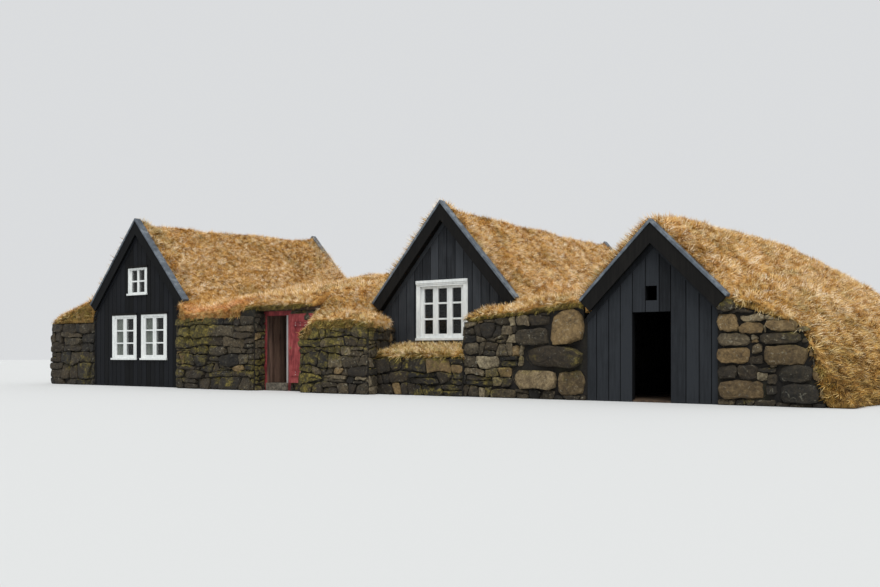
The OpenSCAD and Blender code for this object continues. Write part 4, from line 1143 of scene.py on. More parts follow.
@dataclass
class StoneWall:
    """The stones of one wall, each a rough lump of its own, set in the earth of the wall behind them."""

    name: str
    faces: tuple[WallFace, ...]
    seed: int
    mossy: bool = False
    bright: float = 1.0
    joint: float = 0.024
    block_more: float = 0.02
    proud: float = 0.06
    most_proud: float = 0.11
    uneven: float = 0.026
    least_area: float = 0.004
    least_side: float = 0.06
    sides: int = 16
    rings: tuple[Pair, ...] = ((0.95, -0.08), (1.0, 0.0), (0.99, 0.5), (0.95, 0.8), (0.84, 0.96), (0.5, 1.03),
                               (0.0, 1.04))

    def build(self, materials: dict[bool, Material]) -> None:
        """Makes the stones.

        Args:
            materials: The bare and the mossy stone.
        """
        self.dice = random.Random(self.seed)
        self.verts: list[Point] = []
        self.faces_made: list[tuple[int, ...]] = []
        self.numbers: dict[str, list[float]] = {"tone": [], "tan": []}
        for face in self.faces:
            for cell, tan in self.cells(face):
                self.stone(face, cell, tan)
        piece = new_piece(self.name, self.verts, self.faces_made, materials[self.mossy], False, self.numbers)
        settle(piece, Body.HOUSE, Slot.STONE)

    def cells(self, face: WallFace) -> Iterable[tuple[Polygon, float]]:
        """Parts a face into the outlines of its stones.

        Args:
            face: The face.

        Yields:
            Each outline, as distances along and up, and how tan its stone is.
        """
        for u0, z0, u1, z1, tan in face.blocks:
            more = self.block_more
            yield self.jagged(u0 - more, z0 - more, u1 + more, z1 + more), tan
        for cell in self.courses(face):
            cell = clipped(cell, (0, 0), (-1, 0))
            cell = clipped(cell, (face.length, 0), (1, 0))
            if not cell:
                continue
            u = min(face.length, max(0.0, sum(p[0] for p in cell) / len(cell)))
            slope = (face.top(u + 0.1) - face.top(u - 0.1)) / 0.2
            cell = clipped(cell, (u, face.top(u)), (-slope, 1))
            for block in face.blocks:
                cell = self.beside(cell, block)
            if area(cell) > self.least_area and min(np.ptp(np.array(cell), axis=0)) > self.least_side:
                yield cell, (0.8 if self.dice.random() < face.tan else 0.0) + self.dice.uniform(0, 0.12)

    def courses(self, face: WallFace) -> Iterable[Polygon]:
        """Lays a face's stones in wavy courses of uneven height.

        Args:
            face: The face.

        Yields:
            The outline of each stone.
        """
        highest = max(h for _, h in face.tops)
        lines = [face.bottom]
        while lines[-1] < highest:
            lines.append(lines[-1] + face.tall * self.dice.uniform(0.55, 1.35))
        waves = [self.dice.uniform(0, 90) for _ in lines]

        def line(k: int, u: float) -> float:
            """Height of one joint between courses."""
            wave = noise.noise(Vector((u / face.wide * 0.8, waves[k], 0))) * 0.5 * face.tall
            return lines[k] + (wave if k else 0.0)

        for k in range(len(lines) - 1):
            u, lean = -face.wide * self.dice.random(), 0.0
            while u < face.length:
                share = self.dice.choice((0.45, 0.7, 0.9, 1.2, 1.7))
                wide = face.wide * share * self.dice.uniform(0.85, 1.15)
                past, turn = u + wide, self.dice.uniform(-0.25, 0.25) * face.tall
                low = [(a, line(k, a)) for a in (u - lean, u + wide * 0.4, past - turn)]
                high = [(a, line(k + 1, a)) for a in (past + turn, u + wide * 0.6, u + lean)]
                if wide > 0.8 * face.wide and self.dice.random() < 0.22:
                    left, right = self.dice.uniform(0.35, 0.65), self.dice.uniform(0.35, 0.65)
                    a = (u, low[0][1] * (1 - left) + high[2][1] * left)
                    b = (past, low[2][1] * (1 - right) + high[0][1] * right)
                    yield low + [b, a]
                    yield [a, b] + high
                else:
                    yield low + high
                u, lean = past, turn

    def jagged(self, u0: float, z0: float, u1: float, z1: float) -> Polygon:
        """Makes the uneven outline of a laid block.

        Args:
            u0: Its left side.
            z0: Its underside.
            u1: Its right side.
            z1: Its top.

        Returns:
            The outline.
        """
        w, h = u1 - u0, z1 - z0
        shape = [(0.1, 0.03), (0.5, 0.0), (0.93, 0.04), (1.0, 0.35), (0.97, 0.8), (0.78, 1.0), (0.35, 0.97),
                 (0.04, 0.85), (0.0, 0.35)]
        slip = [(a + self.dice.uniform(-0.06, 0.06), b + self.dice.uniform(-0.12, 0.12)) for a, b in shape]
        return [(u0 + w * unit(a), z0 + h * unit(b)) for a, b in slip]

    def beside(self, cell: Polygon, block: Block) -> Polygon:
        """Cuts an outline back so that it stays clear of a block.

        Args:
            cell: The outline.
            block: Left, bottom, right and top of the block, and how tan it is.

        Returns:
            The largest part on one side of the block.
        """
        u0, z0, u1, z1, _ = block
        if not cell or max(p[0] for p in cell) < u0 or min(p[0] for p in cell) > u1:
            return cell
        if max(p[1] for p in cell) < z0 or min(p[1] for p in cell) > z1:
            return cell
        cuts = [clipped(cell, (u0, 0), (1, 0)), clipped(cell, (u1, 0), (-1, 0)),
                clipped(cell, (0, z0), (0, 1)), clipped(cell, (0, z1), (0, -1))]
        return max(cuts, key=area)

    def outline(self, cell: Polygon) -> np.ndarray:
        """Shrinks an outline by half a joint, cuts its corners a little and spaces its points evenly.

        Args:
            cell: The outline.

        Returns:
            The points, one a row.
        """
        points = np.array(cell)
        middle = points.mean(0)
        span = np.maximum(np.ptp(points, axis=0), 0.05)
        points = middle + (points - middle) * (1 - self.joint / span)
        share = self.dice.uniform(0.07, 0.17)
        ahead = np.roll(points, -1, axis=0)
        points = np.stack([points * (1 - share) + ahead * share, points * share + ahead * (1 - share)], 1)
        points = points.reshape(-1, 2)
        closed = np.vstack([points, points[:1]])
        steps = np.concatenate([[0], np.cumsum(np.linalg.norm(np.diff(closed, axis=0), axis=1))])
        at = np.linspace(0, steps[-1], self.sides, endpoint=False)
        return np.stack([np.interp(at, steps, closed[:, k]) for k in (0, 1)], 1)

    def stone(self, face: WallFace, cell: Polygon, tan: float) -> None:
        """Adds one stone.

        Args:
            face: The face that it is set in.
            cell: Its outline.
            tan: How tan it is.
        """
        rim = self.outline(cell)
        middle = rim.mean(0)
        size = math.sqrt(area(cell))
        swell = min(self.most_proud, self.proud * (0.5 + size * self.dice.uniform(1.0, 2.4)))
        tilt = (self.dice.uniform(-0.2, 0.2), self.dice.uniform(-0.2, 0.1))
        seed = Vector((self.dice.uniform(0, 90), self.dice.uniform(0, 90), 0))
        first, n = len(self.verts), self.sides
        for scale, out in self.rings:
            ring = middle + (rim - middle) * scale if scale else middle[None]
            for u, z in ring:
                spot = Vector((u * 5, z * 5, out)) + seed
                bump = noise.noise(spot) + 0.7 * noise.noise(spot * 2.3)
                lean = tilt[0] * (u - middle[0]) + tilt[1] * (z - middle[1])
                rough = min(out * 2, 1) * (lean + bump * self.uneven)
                depth = out if out < 0 else out * swell + rough + 0.006
                slip = self.uneven * 1.3 if out >= 0 else 0.0
                a = u + slip * noise.noise(spot * 1.7 + Vector((3, 0, 0)))
                b = z + slip * noise.noise(spot * 1.7 + Vector((0, 3, 0)))
                self.verts.append(face.point(a, max(b, 0.004), depth))
        count = len(self.verts) - first
        self.numbers["tone"] += [self.dice.random() ** 1.4 * self.bright] * count
        self.numbers["tan"] += [tan] * count
        last, tip = first + count - 1 - n, first + count - 1
        self.faces_made += rows_joined(len(self.rings) - 2, n, first)
        self.faces_made += [(last + i, last + (i + 1) % n, tip) for i in range(n)]


def flat_top(height: float) -> tuple[Pair, ...]:
    """The tops of a face that is equally high all along."""
    return ((0.0, height),)


def stone_walls() -> tuple[StoneWall, ...]:
    """Lists every wall that shows stones, with the faces that it shows.

    Returns:
        The walls.
    """
    left_end, rear = -14.6, 7.6
    shared_blocks = (
        (2.16, 1.15, 2.93, 1.88, 0.95), (1.53, 0.65, 2.94, 1.12, 0.12), (2.38, 0.1, 2.94, 0.62, 0.4),
        (1.24, 0.2, 2.33, 0.62, 0.55), (1.36, 1.15, 2.12, 1.52, 0.05), (0.02, 0.95, 0.42, 1.2, 0.0))
    flank_blocks = (
        (0.0, 1.37, 0.38, 1.71, 0.95), (0.41, 1.56, 0.85, 1.67, 0.3), (0.41, 1.33, 0.83, 1.53, 0.8),
        (0.89, 1.36, 1.42, 1.56, 0.8), (0.0, 1.11, 0.61, 1.33, 0.08), (0.76, 1.14, 1.50, 1.33, 0.08),
        (0.63, 0.97, 0.82, 1.12, 0.2), (0.0, 0.79, 0.58, 1.08, 0.9), (0.85, 0.77, 1.62, 1.11, 0.45),
        (0.0, 0.5, 0.36, 0.76, 0.05), (0.38, 0.47, 0.72, 0.75, 0.1), (1.08, 0.46, 1.68, 0.75, 0.0),
        (0.0, 0.12, 0.89, 0.46, 0.5), (1.12, 0.08, 1.8, 0.43, 0.0))
    return (
        StoneWall("left_wall_stones", (
            WallFace((left_end, rear), (left_end, 0.0), flat_top(1.9), wide=0.55, tall=0.36),
            WallFace((left_end, 0.0), (-12.31, 0.0), flat_top(1.92), wide=0.6, tall=0.4),
            WallFace((-12.31, rear), (left_end, rear), flat_top(1.9), wide=0.55, tall=0.36),
        ), 3, bright=0.42),
        StoneWall("passage_wall_stones", (
            WallFace((-8.11, 0.0), (-8.11, -0.26), flat_top(1.94)),
            WallFace((-8.11, -0.26), (-5.053, -0.26), flat_top(1.96), wide=0.5, tall=0.25),
            WallFace((-5.053, -0.26), (-5.053, 0.08), flat_top(2.02), wide=0.3, tall=0.24),
            WallFace((-4.057, 0.1), (-3.2, 0.1), flat_top(2.08), wide=0.4, tall=0.26),
        ), 5, True, 0.55),
        StoneWall("jutting_wall_stones", (
            WallFace((-3.2, 0.1), (-3.2, -0.48), ((0, 1.64), (0.45, 1.6), (0.58, 1.5))),
            WallFace((-3.2, -0.48), (-1.05, -0.48), ((0, 1.5), (0.3, 1.62), (2.15, 1.64)), wide=0.44,
                     tall=0.28),
            WallFace((-1.05, -0.48), (-1.6, 1.2), flat_top(1.64)),
        ), 8, True, 0.75),
        # The terrace's stones are darkened to 0.35, partly painted shade under the hanging grass.
        StoneWall("terrace_stones", (
            WallFace((-1.2, -0.06), (1.31, -0.06), flat_top(0.87), wide=0.44, tall=0.28),
        ), 11, True, 0.35),
        StoneWall("shared_wall_stones", (
            WallFace((1.31, 1.2), (1.31, 0.0), flat_top(1.64), bottom=0.9),
            WallFace((1.31, 0.0), (4.28, 0.0), ((0, 1.65), (2.97, 1.9)), wide=0.36, tall=0.22,
                     blocks=shared_blocks),
            WallFace((4.3, 10.4), (2.02, 10.4), flat_top(1.8), wide=0.5, tall=0.3),
        ), 14, bright=0.85),
        StoneWall("right_wall_stones", (
            WallFace((7.0, -0.06), (8.89, -0.06),
                     ((0, 1.87), (0.23, 1.87), (1.43, 1.48), (1.66, 1.04), (1.89, 0.1)),
                     wide=0.34, tall=0.18, tan=0.2, blocks=flank_blocks),
            WallFace((8.89, 10.4), (7.15, 10.4), ((0, 0.1), (0.23, 1.04), (0.46, 1.47), (1.66, 1.87)),
                     wide=0.5, tall=0.3),
        ), 17, bright=0.9),
        StoneWall("rear_wall_stones", (
            WallFace((-3.2, 7.6), (-8.11, 7.6), ((0, 2.5), (2.4, 2.5), (2.42, 2.36), (4.91, 2.36)),
                     wide=0.5, tall=0.3),
            WallFace((-3.2, 10.4), (-3.2, 7.6), flat_top(1.88), wide=0.5, tall=0.3),
            WallFace((-2.0, 10.4), (-3.2, 10.4), flat_top(1.88), wide=0.5, tall=0.3),
        ), 20),
    )


class Prisms:
    """Upright plates and boxes, gathered into one mesh with a tone for each."""

    def __init__(self, seed: int) -> None:
        """Starts with nothing.

        Args:
            seed: Seeds the boards' tones.
        """
        self.dice = random.Random(seed)
        self.verts: list[Point] = []
        self.faces: list[tuple[int, ...]] = []
        self.tones: list[float] = []

    def plate(self, shape: Polygon, y0: float, y1: float, tone: Optional[float] = None) -> None:
        """Adds a plate that stands across the depth.

        Args:
            shape: Its outline, as places along the front and heights.
            y0: Its nearer face.
            y1: Its farther face.
            tone: Its tone, at random where none is given.
        """
        if area(shape) < 1e-6:
            return
        turned = shape if signed_area(shape) > 0 else shape[::-1]
        first, n = len(self.verts), len(turned)
        self.verts += [(x, y, z) for y in (y0, y1) for x, z in turned]
        self.faces += [tuple(range(first, first + n)), tuple(range(first + 2 * n - 1, first + n - 1, -1))]
        self.faces += [(first + i, first + n + i, first + n + (i + 1) % n, first + (i + 1) % n)
                       for i in range(n)]
        self.tones += [self.dice.random() if tone is None else tone] * (2 * n)

    def box(self, low: Point, high: Point, tone: Optional[float] = None) -> None:
        """Adds a box."""
        shape = [(low[0], low[2]), (high[0], low[2]), (high[0], high[2]), (low[0], high[2])]
        self.plate(shape, low[1], high[1], tone)

    def piece(self, name: str, material: Material, worn: float = 0.0) -> Object:
        """Makes the piece."""
        made = new_piece(name, self.verts, self.faces, material, False, {"tone": self.tones})
        return eased(made, worn) if worn else made


@dataclass(frozen=True)
class Boarding:
    """The upright boards of one gable, with raking boards under the roof."""

    name: str
    house: House
    rear: bool = False
    joints: tuple[float, ...] = ()
    pitch: float = 0.244
    offset: float = 0.04
    holes: tuple[Rect, ...] = ()
    gap: float = 0.017
    worn: float = 0.003
    least_part: float = 0.0015
    thick: float = 0.018
    rake_deep: float = 0.032
    rake_tall: float = 0.14
    under_deck: float = 0.4
    gable_in: float = 0.085
    least_board: float = 0.05
    foot: float = 0.004
    seed: int = 1

    def build(self, material: Material) -> None:
        """Makes the boards.

        Args:
            material: Their finish.
        """
        face = self.house.rear if self.rear else self.house.front
        boards = Prisms(self.seed)
        out = 1 if self.rear else -1
        span = sorted((face, face + out * self.thick))
        edges = self.edges()
        for left, right in zip(edges, edges[1:]):
            tone = boards.dice.random()
            for part in self.cut(self.under_roof(left + self.gap / 2, right - self.gap / 2, face)):
                boards.plate(part, *span, tone)
        span = sorted((face, face + out * self.rake_deep))
        for side in (-1, 1):
            ends = (self.house.ridge, self.house.ridge + side * (self.house.half - self.gable_in))
            tops = [(x, self.house.roof(x, face, self.under_deck + 0.002)) for x in ends]
            boards.plate(tops + [(x, z - self.rake_tall) for x, z in reversed(tops)], *span)
        settle(boards.piece(self.name, material, self.worn), Body.HOUSE, Slot.BLACK_BOARDS)

    def edges(self) -> list[float]:
        """Places of the joints between the boards, the gable's own edges among them.

        Returns:
            The places, from left to right.
        """
        low = self.house.ridge - self.house.half + self.gable_in
        high = self.house.ridge + self.house.half - self.gable_in
        inner = list(self.joints)
        if not inner:
            first = math.ceil((low - self.offset) / self.pitch)
            count = int((high - low) / self.pitch) + 2
            inner = [self.offset + k * self.pitch for k in range(first, first + count)]
        return [low] + [x for x in inner if low + self.least_board < x < high - self.least_board] + [high]

    def under_roof(self, left: float, right: float, y: float) -> Polygon:
        """The outline of one board from the floor to the roof.

        Args:
            left: Its left edge.
            right: Its right edge.
            y: Depth at which the roof's height is taken.

        Returns:
            The outline.
        """
        roof = [(x, self.house.roof(x, y, self.under_deck)) for x in (left, right)]
        if left < self.house.ridge < right:
            roof.insert(1, (self.house.ridge, self.house.roof(self.house.ridge, y, self.under_deck)))
        return [(left, self.foot), (right, self.foot)] + roof[::-1]

    def cut(self, board: Polygon) -> list[Polygon]:
        """Cuts the holes out of a board.

        Args:
            board: Its outline.

        Returns:
            What is left of it.
        """
        parts = [board]
        for x0, x1, z0, z1 in self.holes:
            left = [clipped(p, (x0, 0), (1, 0)) for p in parts]
            right = [clipped(p, (x1, 0), (-1, 0)) for p in parts]
            between = [clipped(clipped(p, (x0, 0), (-1, 0)), (x1, 0), (1, 0)) for p in parts if p]
            below = [clipped(p, (0, z0), (0, 1)) for p in between if p]
            above = [clipped(p, (0, z1), (0, -1)) for p in between if p]
            parts = [p for p in left + right + below + above if area(p) > self.least_part]
        return parts


@dataclass(frozen=True)
class Window:
    """One casement window as the solids have it, with the number of its glazing bars."""

    centre: float
    gable: float
    under: float
    width: float
    height: float
    posts: int
    casing: float
    stile: float
    post: float
    head: float
    foot: float
    set_back: float
    bars: int
    bar: float
    curtained: tuple[int, ...] = ()
    proud: float = 0.025
    bar_set: Pair = (0.003, 0.0265)
    bar_past: float = 0.002
    bead_in: Point = (0.012, 0.04, 0.045)
    bead_wide: float = 0.016
    bead_set: Pair = (-0.009, 0.004)
    bead_past: float = 0.02
    tone: float = 0.5

    @property
    def hole(self) -> Rect:
        """The window's outline in its gable."""
        half = self.width / 2
        return self.centre - half, self.centre + half, self.under, self.under + self.height

    @property
    def face(self) -> float:
        """Depth of the casing's face."""
        return self.gable - self.proud

    @property
    def sash(self) -> float:
        """Depth of the sashes' face."""
        return self.face + self.set_back

    def bays(self) -> list[Rect]:
        """The glazed openings.

        Returns:
            Each one's left, right, underside and top.
        """
        count = self.posts + 1
        wide = (self.width - 2 * (self.casing + self.stile) - self.posts * self.post) / count
        left = self.centre - self.width / 2 + self.casing + self.stile
        low, high = self.under + self.foot, self.under + self.height - self.head
        starts = [left + i * (wide + self.post) for i in range(count)]
        return [(start, start + wide, low, high) for start in starts]

    def add_bars(self, bars: Prisms) -> None:
        """Adds the glazing bars of every bay.

        Args:
            bars: Where they go.
        """
        for left, right, low, high in self.bays():
            step = (high - low + self.bar) / (self.bars + 1)
            for k in range(1, self.bars + 1):
                z = low + k * step - self.bar
                bars.box((left - self.bar_past, self.sash + self.bar_set[0], z),
                         (right + self.bar_past, self.sash + self.bar_set[1], z + self.bar), self.tone)

    def add_beads(self, beads: Prisms) -> None:
        """Adds the thin beads that run round the casing and the sashes.

        Args:
            beads: Where they go.
        """
        x0, x1, z0, z1 = self.hole
        wide, (near, far), (side, foot, head) = self.bead_wide, self.bead_set, self.bead_in
        x0, x1, z0, z1 = x0 + side, x1 - side, z0 + foot, z1 - head
        for low, high in (((x0, z0), (x0 + wide, z1)), ((x1 - wide, z0), (x1, z1)),
                          ((x0 + wide, z1 - wide), (x1 - wide, z1))):
            beads.box((low[0], self.face + near, low[1]), (high[0], self.face + far, high[1]), self.tone)
        for (_, right, low, _), (left, _, _, high) in zip(self.bays(), self.bays()[1:]):
            middle = (left + right) / 2
            beads.box((middle - wide, self.sash + near, low - self.bead_past),
                      (middle + wide, self.sash + far, high + self.bead_past), self.tone)


STYLE = dict(gable=0.0, posts=1, set_back=0.025)
GROUND = dict(STYLE, under=0.804, width=1.16, height=1.356, casing=0.1, stile=0.073, post=0.153, head=0.15,
              foot=0.127, bars=2, bar=0.04, curtained=(0,))
LEFT_WINDOWS = (
    Window(centre=-10.836, **GROUND),
    Window(centre=-9.458, **GROUND),
    Window(centre=-10.21, under=2.721, width=0.877, height=0.831, casing=0.08, stile=0.062, post=0.084,
           head=0.108, foot=0.07, bars=1, bar=0.045, **STYLE),
)
MIDDLE_WINDOW = Window(centre=-0.113, gable=1.2, under=1.309, width=1.519, height=1.435, posts=2,
                       casing=0.125, stile=0.09, post=0.155, head=0.185, foot=0.141, set_back=0.05, bars=2,
                       bar=0.044)


@dataclass
class Glazing:
    """The windows' frames, bars, beads, head moulding and curtains.

    Each step of the moulding has its underside and top, measured from the frame's top, how far it stands
    proud of the casing, and how far it runs past the frame at each end.
    """

    worn: float = 0.004
    bar_worn: float = 0.005
    bead_worn: float = 0.003
    drip_drop: float = 0.038
    moulding: tuple[Step, ...] = ((-0.085, -0.05, 0.022, -0.004), (-0.05, -0.034, 0.034, -0.002),
                                  (-0.129, -0.103, 0.018, -0.121))
    moulding_in: float = 0.004
    net_back: float = 0.052
    net_side: float = 0.003
    net_end: float = 0.006
    pleats: float = 4.5
    pleat_deep: float = 0.011
    pleat_drift: Pair = (0.7, 9.0)
    foot_ease: float = 0.35
    steps: int = 48
    rows: int = 10

    def build(self, white: Material, tar: Material, net: Material) -> None:
        """Makes all of it.

        Args:
            white: Finish of the frames.
            tar: Finish of the boards over the left house's windows.
            net: Finish of the curtains.
        """
        self.frames("left_window_casings", "left_window_frames", LEFT_WINDOWS, white, tar)
        self.frames("middle_window_casing", "middle_window_frame", (MIDDLE_WINDOW,), white, None)
        for name, windows in (("left", LEFT_WINDOWS), ("middle", (MIDDLE_WINDOW,))):
            bars, beads = Prisms(2), Prisms(3)
            for window in windows:
                window.add_bars(bars)
                window.add_beads(beads)
            settle(bars.piece(name + "_glazing_bars", white, self.bar_worn), Body.HOUSE, Slot.WHITE)
            settle(beads.piece(name + "_window_beads", white, self.bead_worn), Body.HOUSE, Slot.WHITE)
        self.head_moulding(white)
        for number, window in enumerate(LEFT_WINDOWS):
            for bay in window.curtained:
                self.curtain(f"net_curtain_{number}", window, window.bays()[bay], net)

    def frames(self, name: str, node: str, windows: Sequence[Window], white: Material,
               tar: Optional[Material]) -> None:
        """Makes worn frames from the solid ones.

        Args:
            name: The piece's name.
            node: The solid frames.
            windows: The windows in it.
            white: Finish of the frames.
            tar: Finish of the boards over them, if they aren't white.
        """
        piece = solid_copy(name, node)
        if tar is None:
            for vert in piece.data.vertices:
                x0, x1, _, _ = windows[0].hole
                vert.co.x = min(max(vert.co.x, x0), x1)
        piece = eased(piece, self.worn)
        repaint(piece.data, white, tar or white)
        for face in piece.data.polygons:
            x, y, z = face.center
            for window in windows:
                x0, x1, _, top = window.hole
                over = x0 - 0.03 < x < x1 + 0.03 and abs(z - top) < self.drip_drop + 0.002
                if over and y < window.gable - 0.004:
                    face.material_index = 1
        settle(piece, Body.HOUSE, Slot.WHITE, node)

    def head_moulding(self, white: Material) -> None:
        """Makes the stepped moulding over the middle house's window.

        Args:
            white: Its finish.
        """
        x0, x1, _, top = MIDDLE_WINDOW.hole
        face, tone, steps = MIDDLE_WINDOW.face, MIDDLE_WINDOW.tone, Prisms(4)
        for low, high, proud, past in self.moulding:
            steps.box((x0 - past, face - proud, top + low),
                      (x1 + past, face + self.moulding_in, top + high), tone)
        settle(steps.piece("middle_window_head", white, self.worn), Body.HOUSE, Slot.WHITE)

    def curtain(self, name: str, window: Window, bay: Rect, net: Material) -> None:
        """Hangs a net curtain behind a bay.

        Args:
            name: Its name.
            window: The window.
            bay: The bay's left, right, underside and top.
            net: Its finish.
        """
        left, right, low, high = bay
        depth, rows = window.sash + self.net_back, self.rows
        left, right = left + self.net_side, right - self.net_side
        low, high = low + self.net_end, high - self.net_end
        places = []
        for share in (i / self.steps for i in range(self.steps + 1)):
            drift = self.pleat_drift[0] * math.sin(self.pleat_drift[1] * share)
            wave = self.pleat_deep * math.sin(2 * math.pi * self.pleats * share + drift)
            places.append((left + (right - left) * share, depth + wave))
        cut = sum(math.dist(a, b) for a, b in zip(places, places[1:]))
        heights = [low + (high - low) * k / rows for k in range(rows + 1)]
        verts = [(x, depth + (y - depth) * (1 - self.foot_ease * k / rows), z)
                 for k, z in enumerate(heights) for x, y in places]
        piece = new_piece(name, verts, rows_joined(rows, self.steps + 1, closed=False), net, True)
        heights[-1] - heights[0]
        settle(piece, Body.HOUSE, Slot.WHITE)


class NailTree(Growth):
    """Sets a nail head on each point of a mesh."""

    def __init__(self) -> None:
        """Builds the tree."""
        super().__init__("nails")
        nail = self.take("Nail", Object)
        finish = self.take("Finish", Material)
        size = self.take("Size", float)
        seed = self.take("Seed", int)
        shape = self.node("GeometryNodeObjectInfo", {}, {"Object": nail}, "Geometry")
        scale = size * self.chance(0.8, 1.2, seed)
        self.close(self.node("GeometryNodeInstanceOnPoints", {}, {"Points": self.mesh, "Instance": shape,
                                                                  "Scale": scale}), finish)


def nail_head(sides: int = 8) -> Object:
    """Makes a domed nail head a metre across that faces the front.

    Args:
        sides: Its sides.

    Returns:
        The object.
    """
    rings = ((0.5, 0.1), (0.5, -0.05), (0.3, -0.2))
    verts = [(r * math.cos(2 * math.pi * i / sides), y, r * math.sin(2 * math.pi * i / sides))
             for r, y in rings for i in range(sides)] + [(0, -0.26, 0), (0, 0.1, 0)]
    faces = rows_joined(2, sides)
    faces += [(2 * sides + i, 2 * sides + (i + 1) % sides, 3 * sides) for i in range(sides)]
    faces += [((i + 1) % sides, i, 3 * sides + 1) for i in range(sides)]
    return new_piece("nail", verts, faces, bpy.data.materials.new("none"))


@dataclass
class RedDoor:
    """The ledged and braced leaf, drawn folded back, and what lines its doorway."""

    left: float = -4.07
    right: float = -3.24
    front: float = -0.021
    face: float = 0.004
    back: float = 0.039
    low: float = 0.215
    high: float = 1.987
    ledges: Pair = (0.395, 1.657)
    ledge_tall: float = 0.13
    ledge_in: float = 0.08
    ledge_end: float = 0.02
    core_in: Point = (0.02, 0.002, 0.01)
    core_back: float = 0.004
    planks: int = 5
    plank_gap: float = 0.006
    nail: float = 0.022
    worn: float = 0.003
    lining_left: float = -5.053
    lining_thick: float = 0.017
    lining_span: Pair = (0.285, 2.9)
    lining_height: Pair = (0.204, 2.1)
    lining_board: float = 0.172
    lining_pitch: float = 0.18
    stop: tuple[Point, Point] = ((-4.262, 0.107, 0.2), (-4.172, 0.262, 1.99))

    def build(self, red: Material, bare: Material, grey: Material) -> None:
        """Makes the leaf, its nails, and the doorway's lining.

        Args:
            red: Finish of the leaf.
            bare: Finish of the passage's boards.
            grey: Finish of the stop post.
        """
        leaf = Prisms(5)
        wide = (self.right - self.left) / self.planks
        for k in range(self.planks):
            x = self.left + k * wide
            leaf.box((x + (self.plank_gap / 2 if k else 0), self.face, self.low),
                     (x + wide - (self.plank_gap / 2 if k < self.planks - 1 else 0), self.back, self.high))
        x0, x1 = self.left + self.ledge_in, self.right - self.ledge_end
        for z in self.ledges:
            leaf.box((x0, self.front, z), (x1, self.face, z + self.ledge_tall))
        low, high, tall = self.ledges[0] + self.ledge_tall, self.ledges[1], self.ledge_tall
        brace = [(x0, high), (x0, high - tall), (x1 - tall, low), (x1, low), (x1, low + tall / 2),
                 (x0 + tall, high)]
        leaf.plate(brace, self.front, self.face)
        # The core shows only in the gaps between the planks; its tone is the lowest, a slight painted shade
        # there.
        side, near, end = self.core_in
        leaf.box((self.left + side, self.face + near, self.low + end),
                 (self.right - side, self.back - self.core_back, self.high - end), 0.0)
        settle(leaf.piece("red_door_leaf", red, self.worn), Body.RED_DOOR, Slot.RED_BOARDS, "entry_door")
        self.nails(x0, x1, wide)
        self.lining(bare, grey)

    def nails(self, x0: float, x1: float, wide: float) -> None:
        """Sets two nails through each ledge into each plank.

        Args:
            x0: Left end of the ledges.
            x1: Their right end.
            wide: Width of a plank.
        """
        middles = [self.left + (k + 0.5) * wide for k in range(self.planks)]
        places = [(x, self.front - 0.001, z + self.ledge_tall * up) for z in self.ledges
                  for up in (0.25, 0.75) for x in middles if x0 + 0.02 < x < x1 - 0.02]
        points = new_piece("nail_places", places, [], bpy.data.materials.new("none"))
        head = nail_head()
        nails = NailTree().run(points, "red_door_nails", Nail=head, Finish=NailHead().material(),
                               Size=self.nail, Seed=4)
        bpy.data.objects.remove(head)
        settle(nails, Body.RED_DOOR, Slot.IRON)

    def lining(self, bare: Material, grey: Material) -> None:
        """Lines the passage's left wall behind the doorway and sets the stop post.

        Args:
            bare: Finish of the boards.
            grey: Finish of the post.
        """
        boards = Prisms(6)
        left, (y, end), (low, high) = self.lining_left, self.lining_span, self.lining_height
        while y < end:
            boards.box((left, y, low), (left + self.lining_thick, y + self.lining_board, high))
            y += self.lining_pitch
        settle(boards.piece("passage_boards", bare, self.worn), Body.HOUSE, Slot.ROOF_BOARDS)
        post = Prisms(7)
        post.box(*self.stop)
        settle(post.piece("door_stop", grey, 0.006), Body.HOUSE, Slot.ROOF_BOARDS)


@dataclass(frozen=True)
class MossClump:
    """The round clump of moss that sits on the wall under the right house's eave."""

    middle: Point = (7.16, -0.1, 1.86)
    size: Point = (0.19, 0.11, 0.115)
    tone: float = 0.5

    def build(self, material: Material) -> None:
        """Makes the clump.

        Args:
            material: Its finish.
        """
        shape = bmesh.new()
        bmesh.ops.create_icosphere(shape, subdivisions=4, radius=1.0)
        for vert in shape.verts:
            swell = 1 + 0.22 * noise.noise(vert.co * 1.6) + 0.1 * noise.noise(vert.co * 5)
            vert.co = Vector(self.middle) + Vector(self.size) * swell * vert.co
        clump = from_shape("moss_clump", shape)
        store(clump.data, {"tone": [self.tone] * len(clump.data.vertices)})
        clump.data.materials.append(material)
        settle(clump, Body.HOUSE, Slot.TURF)


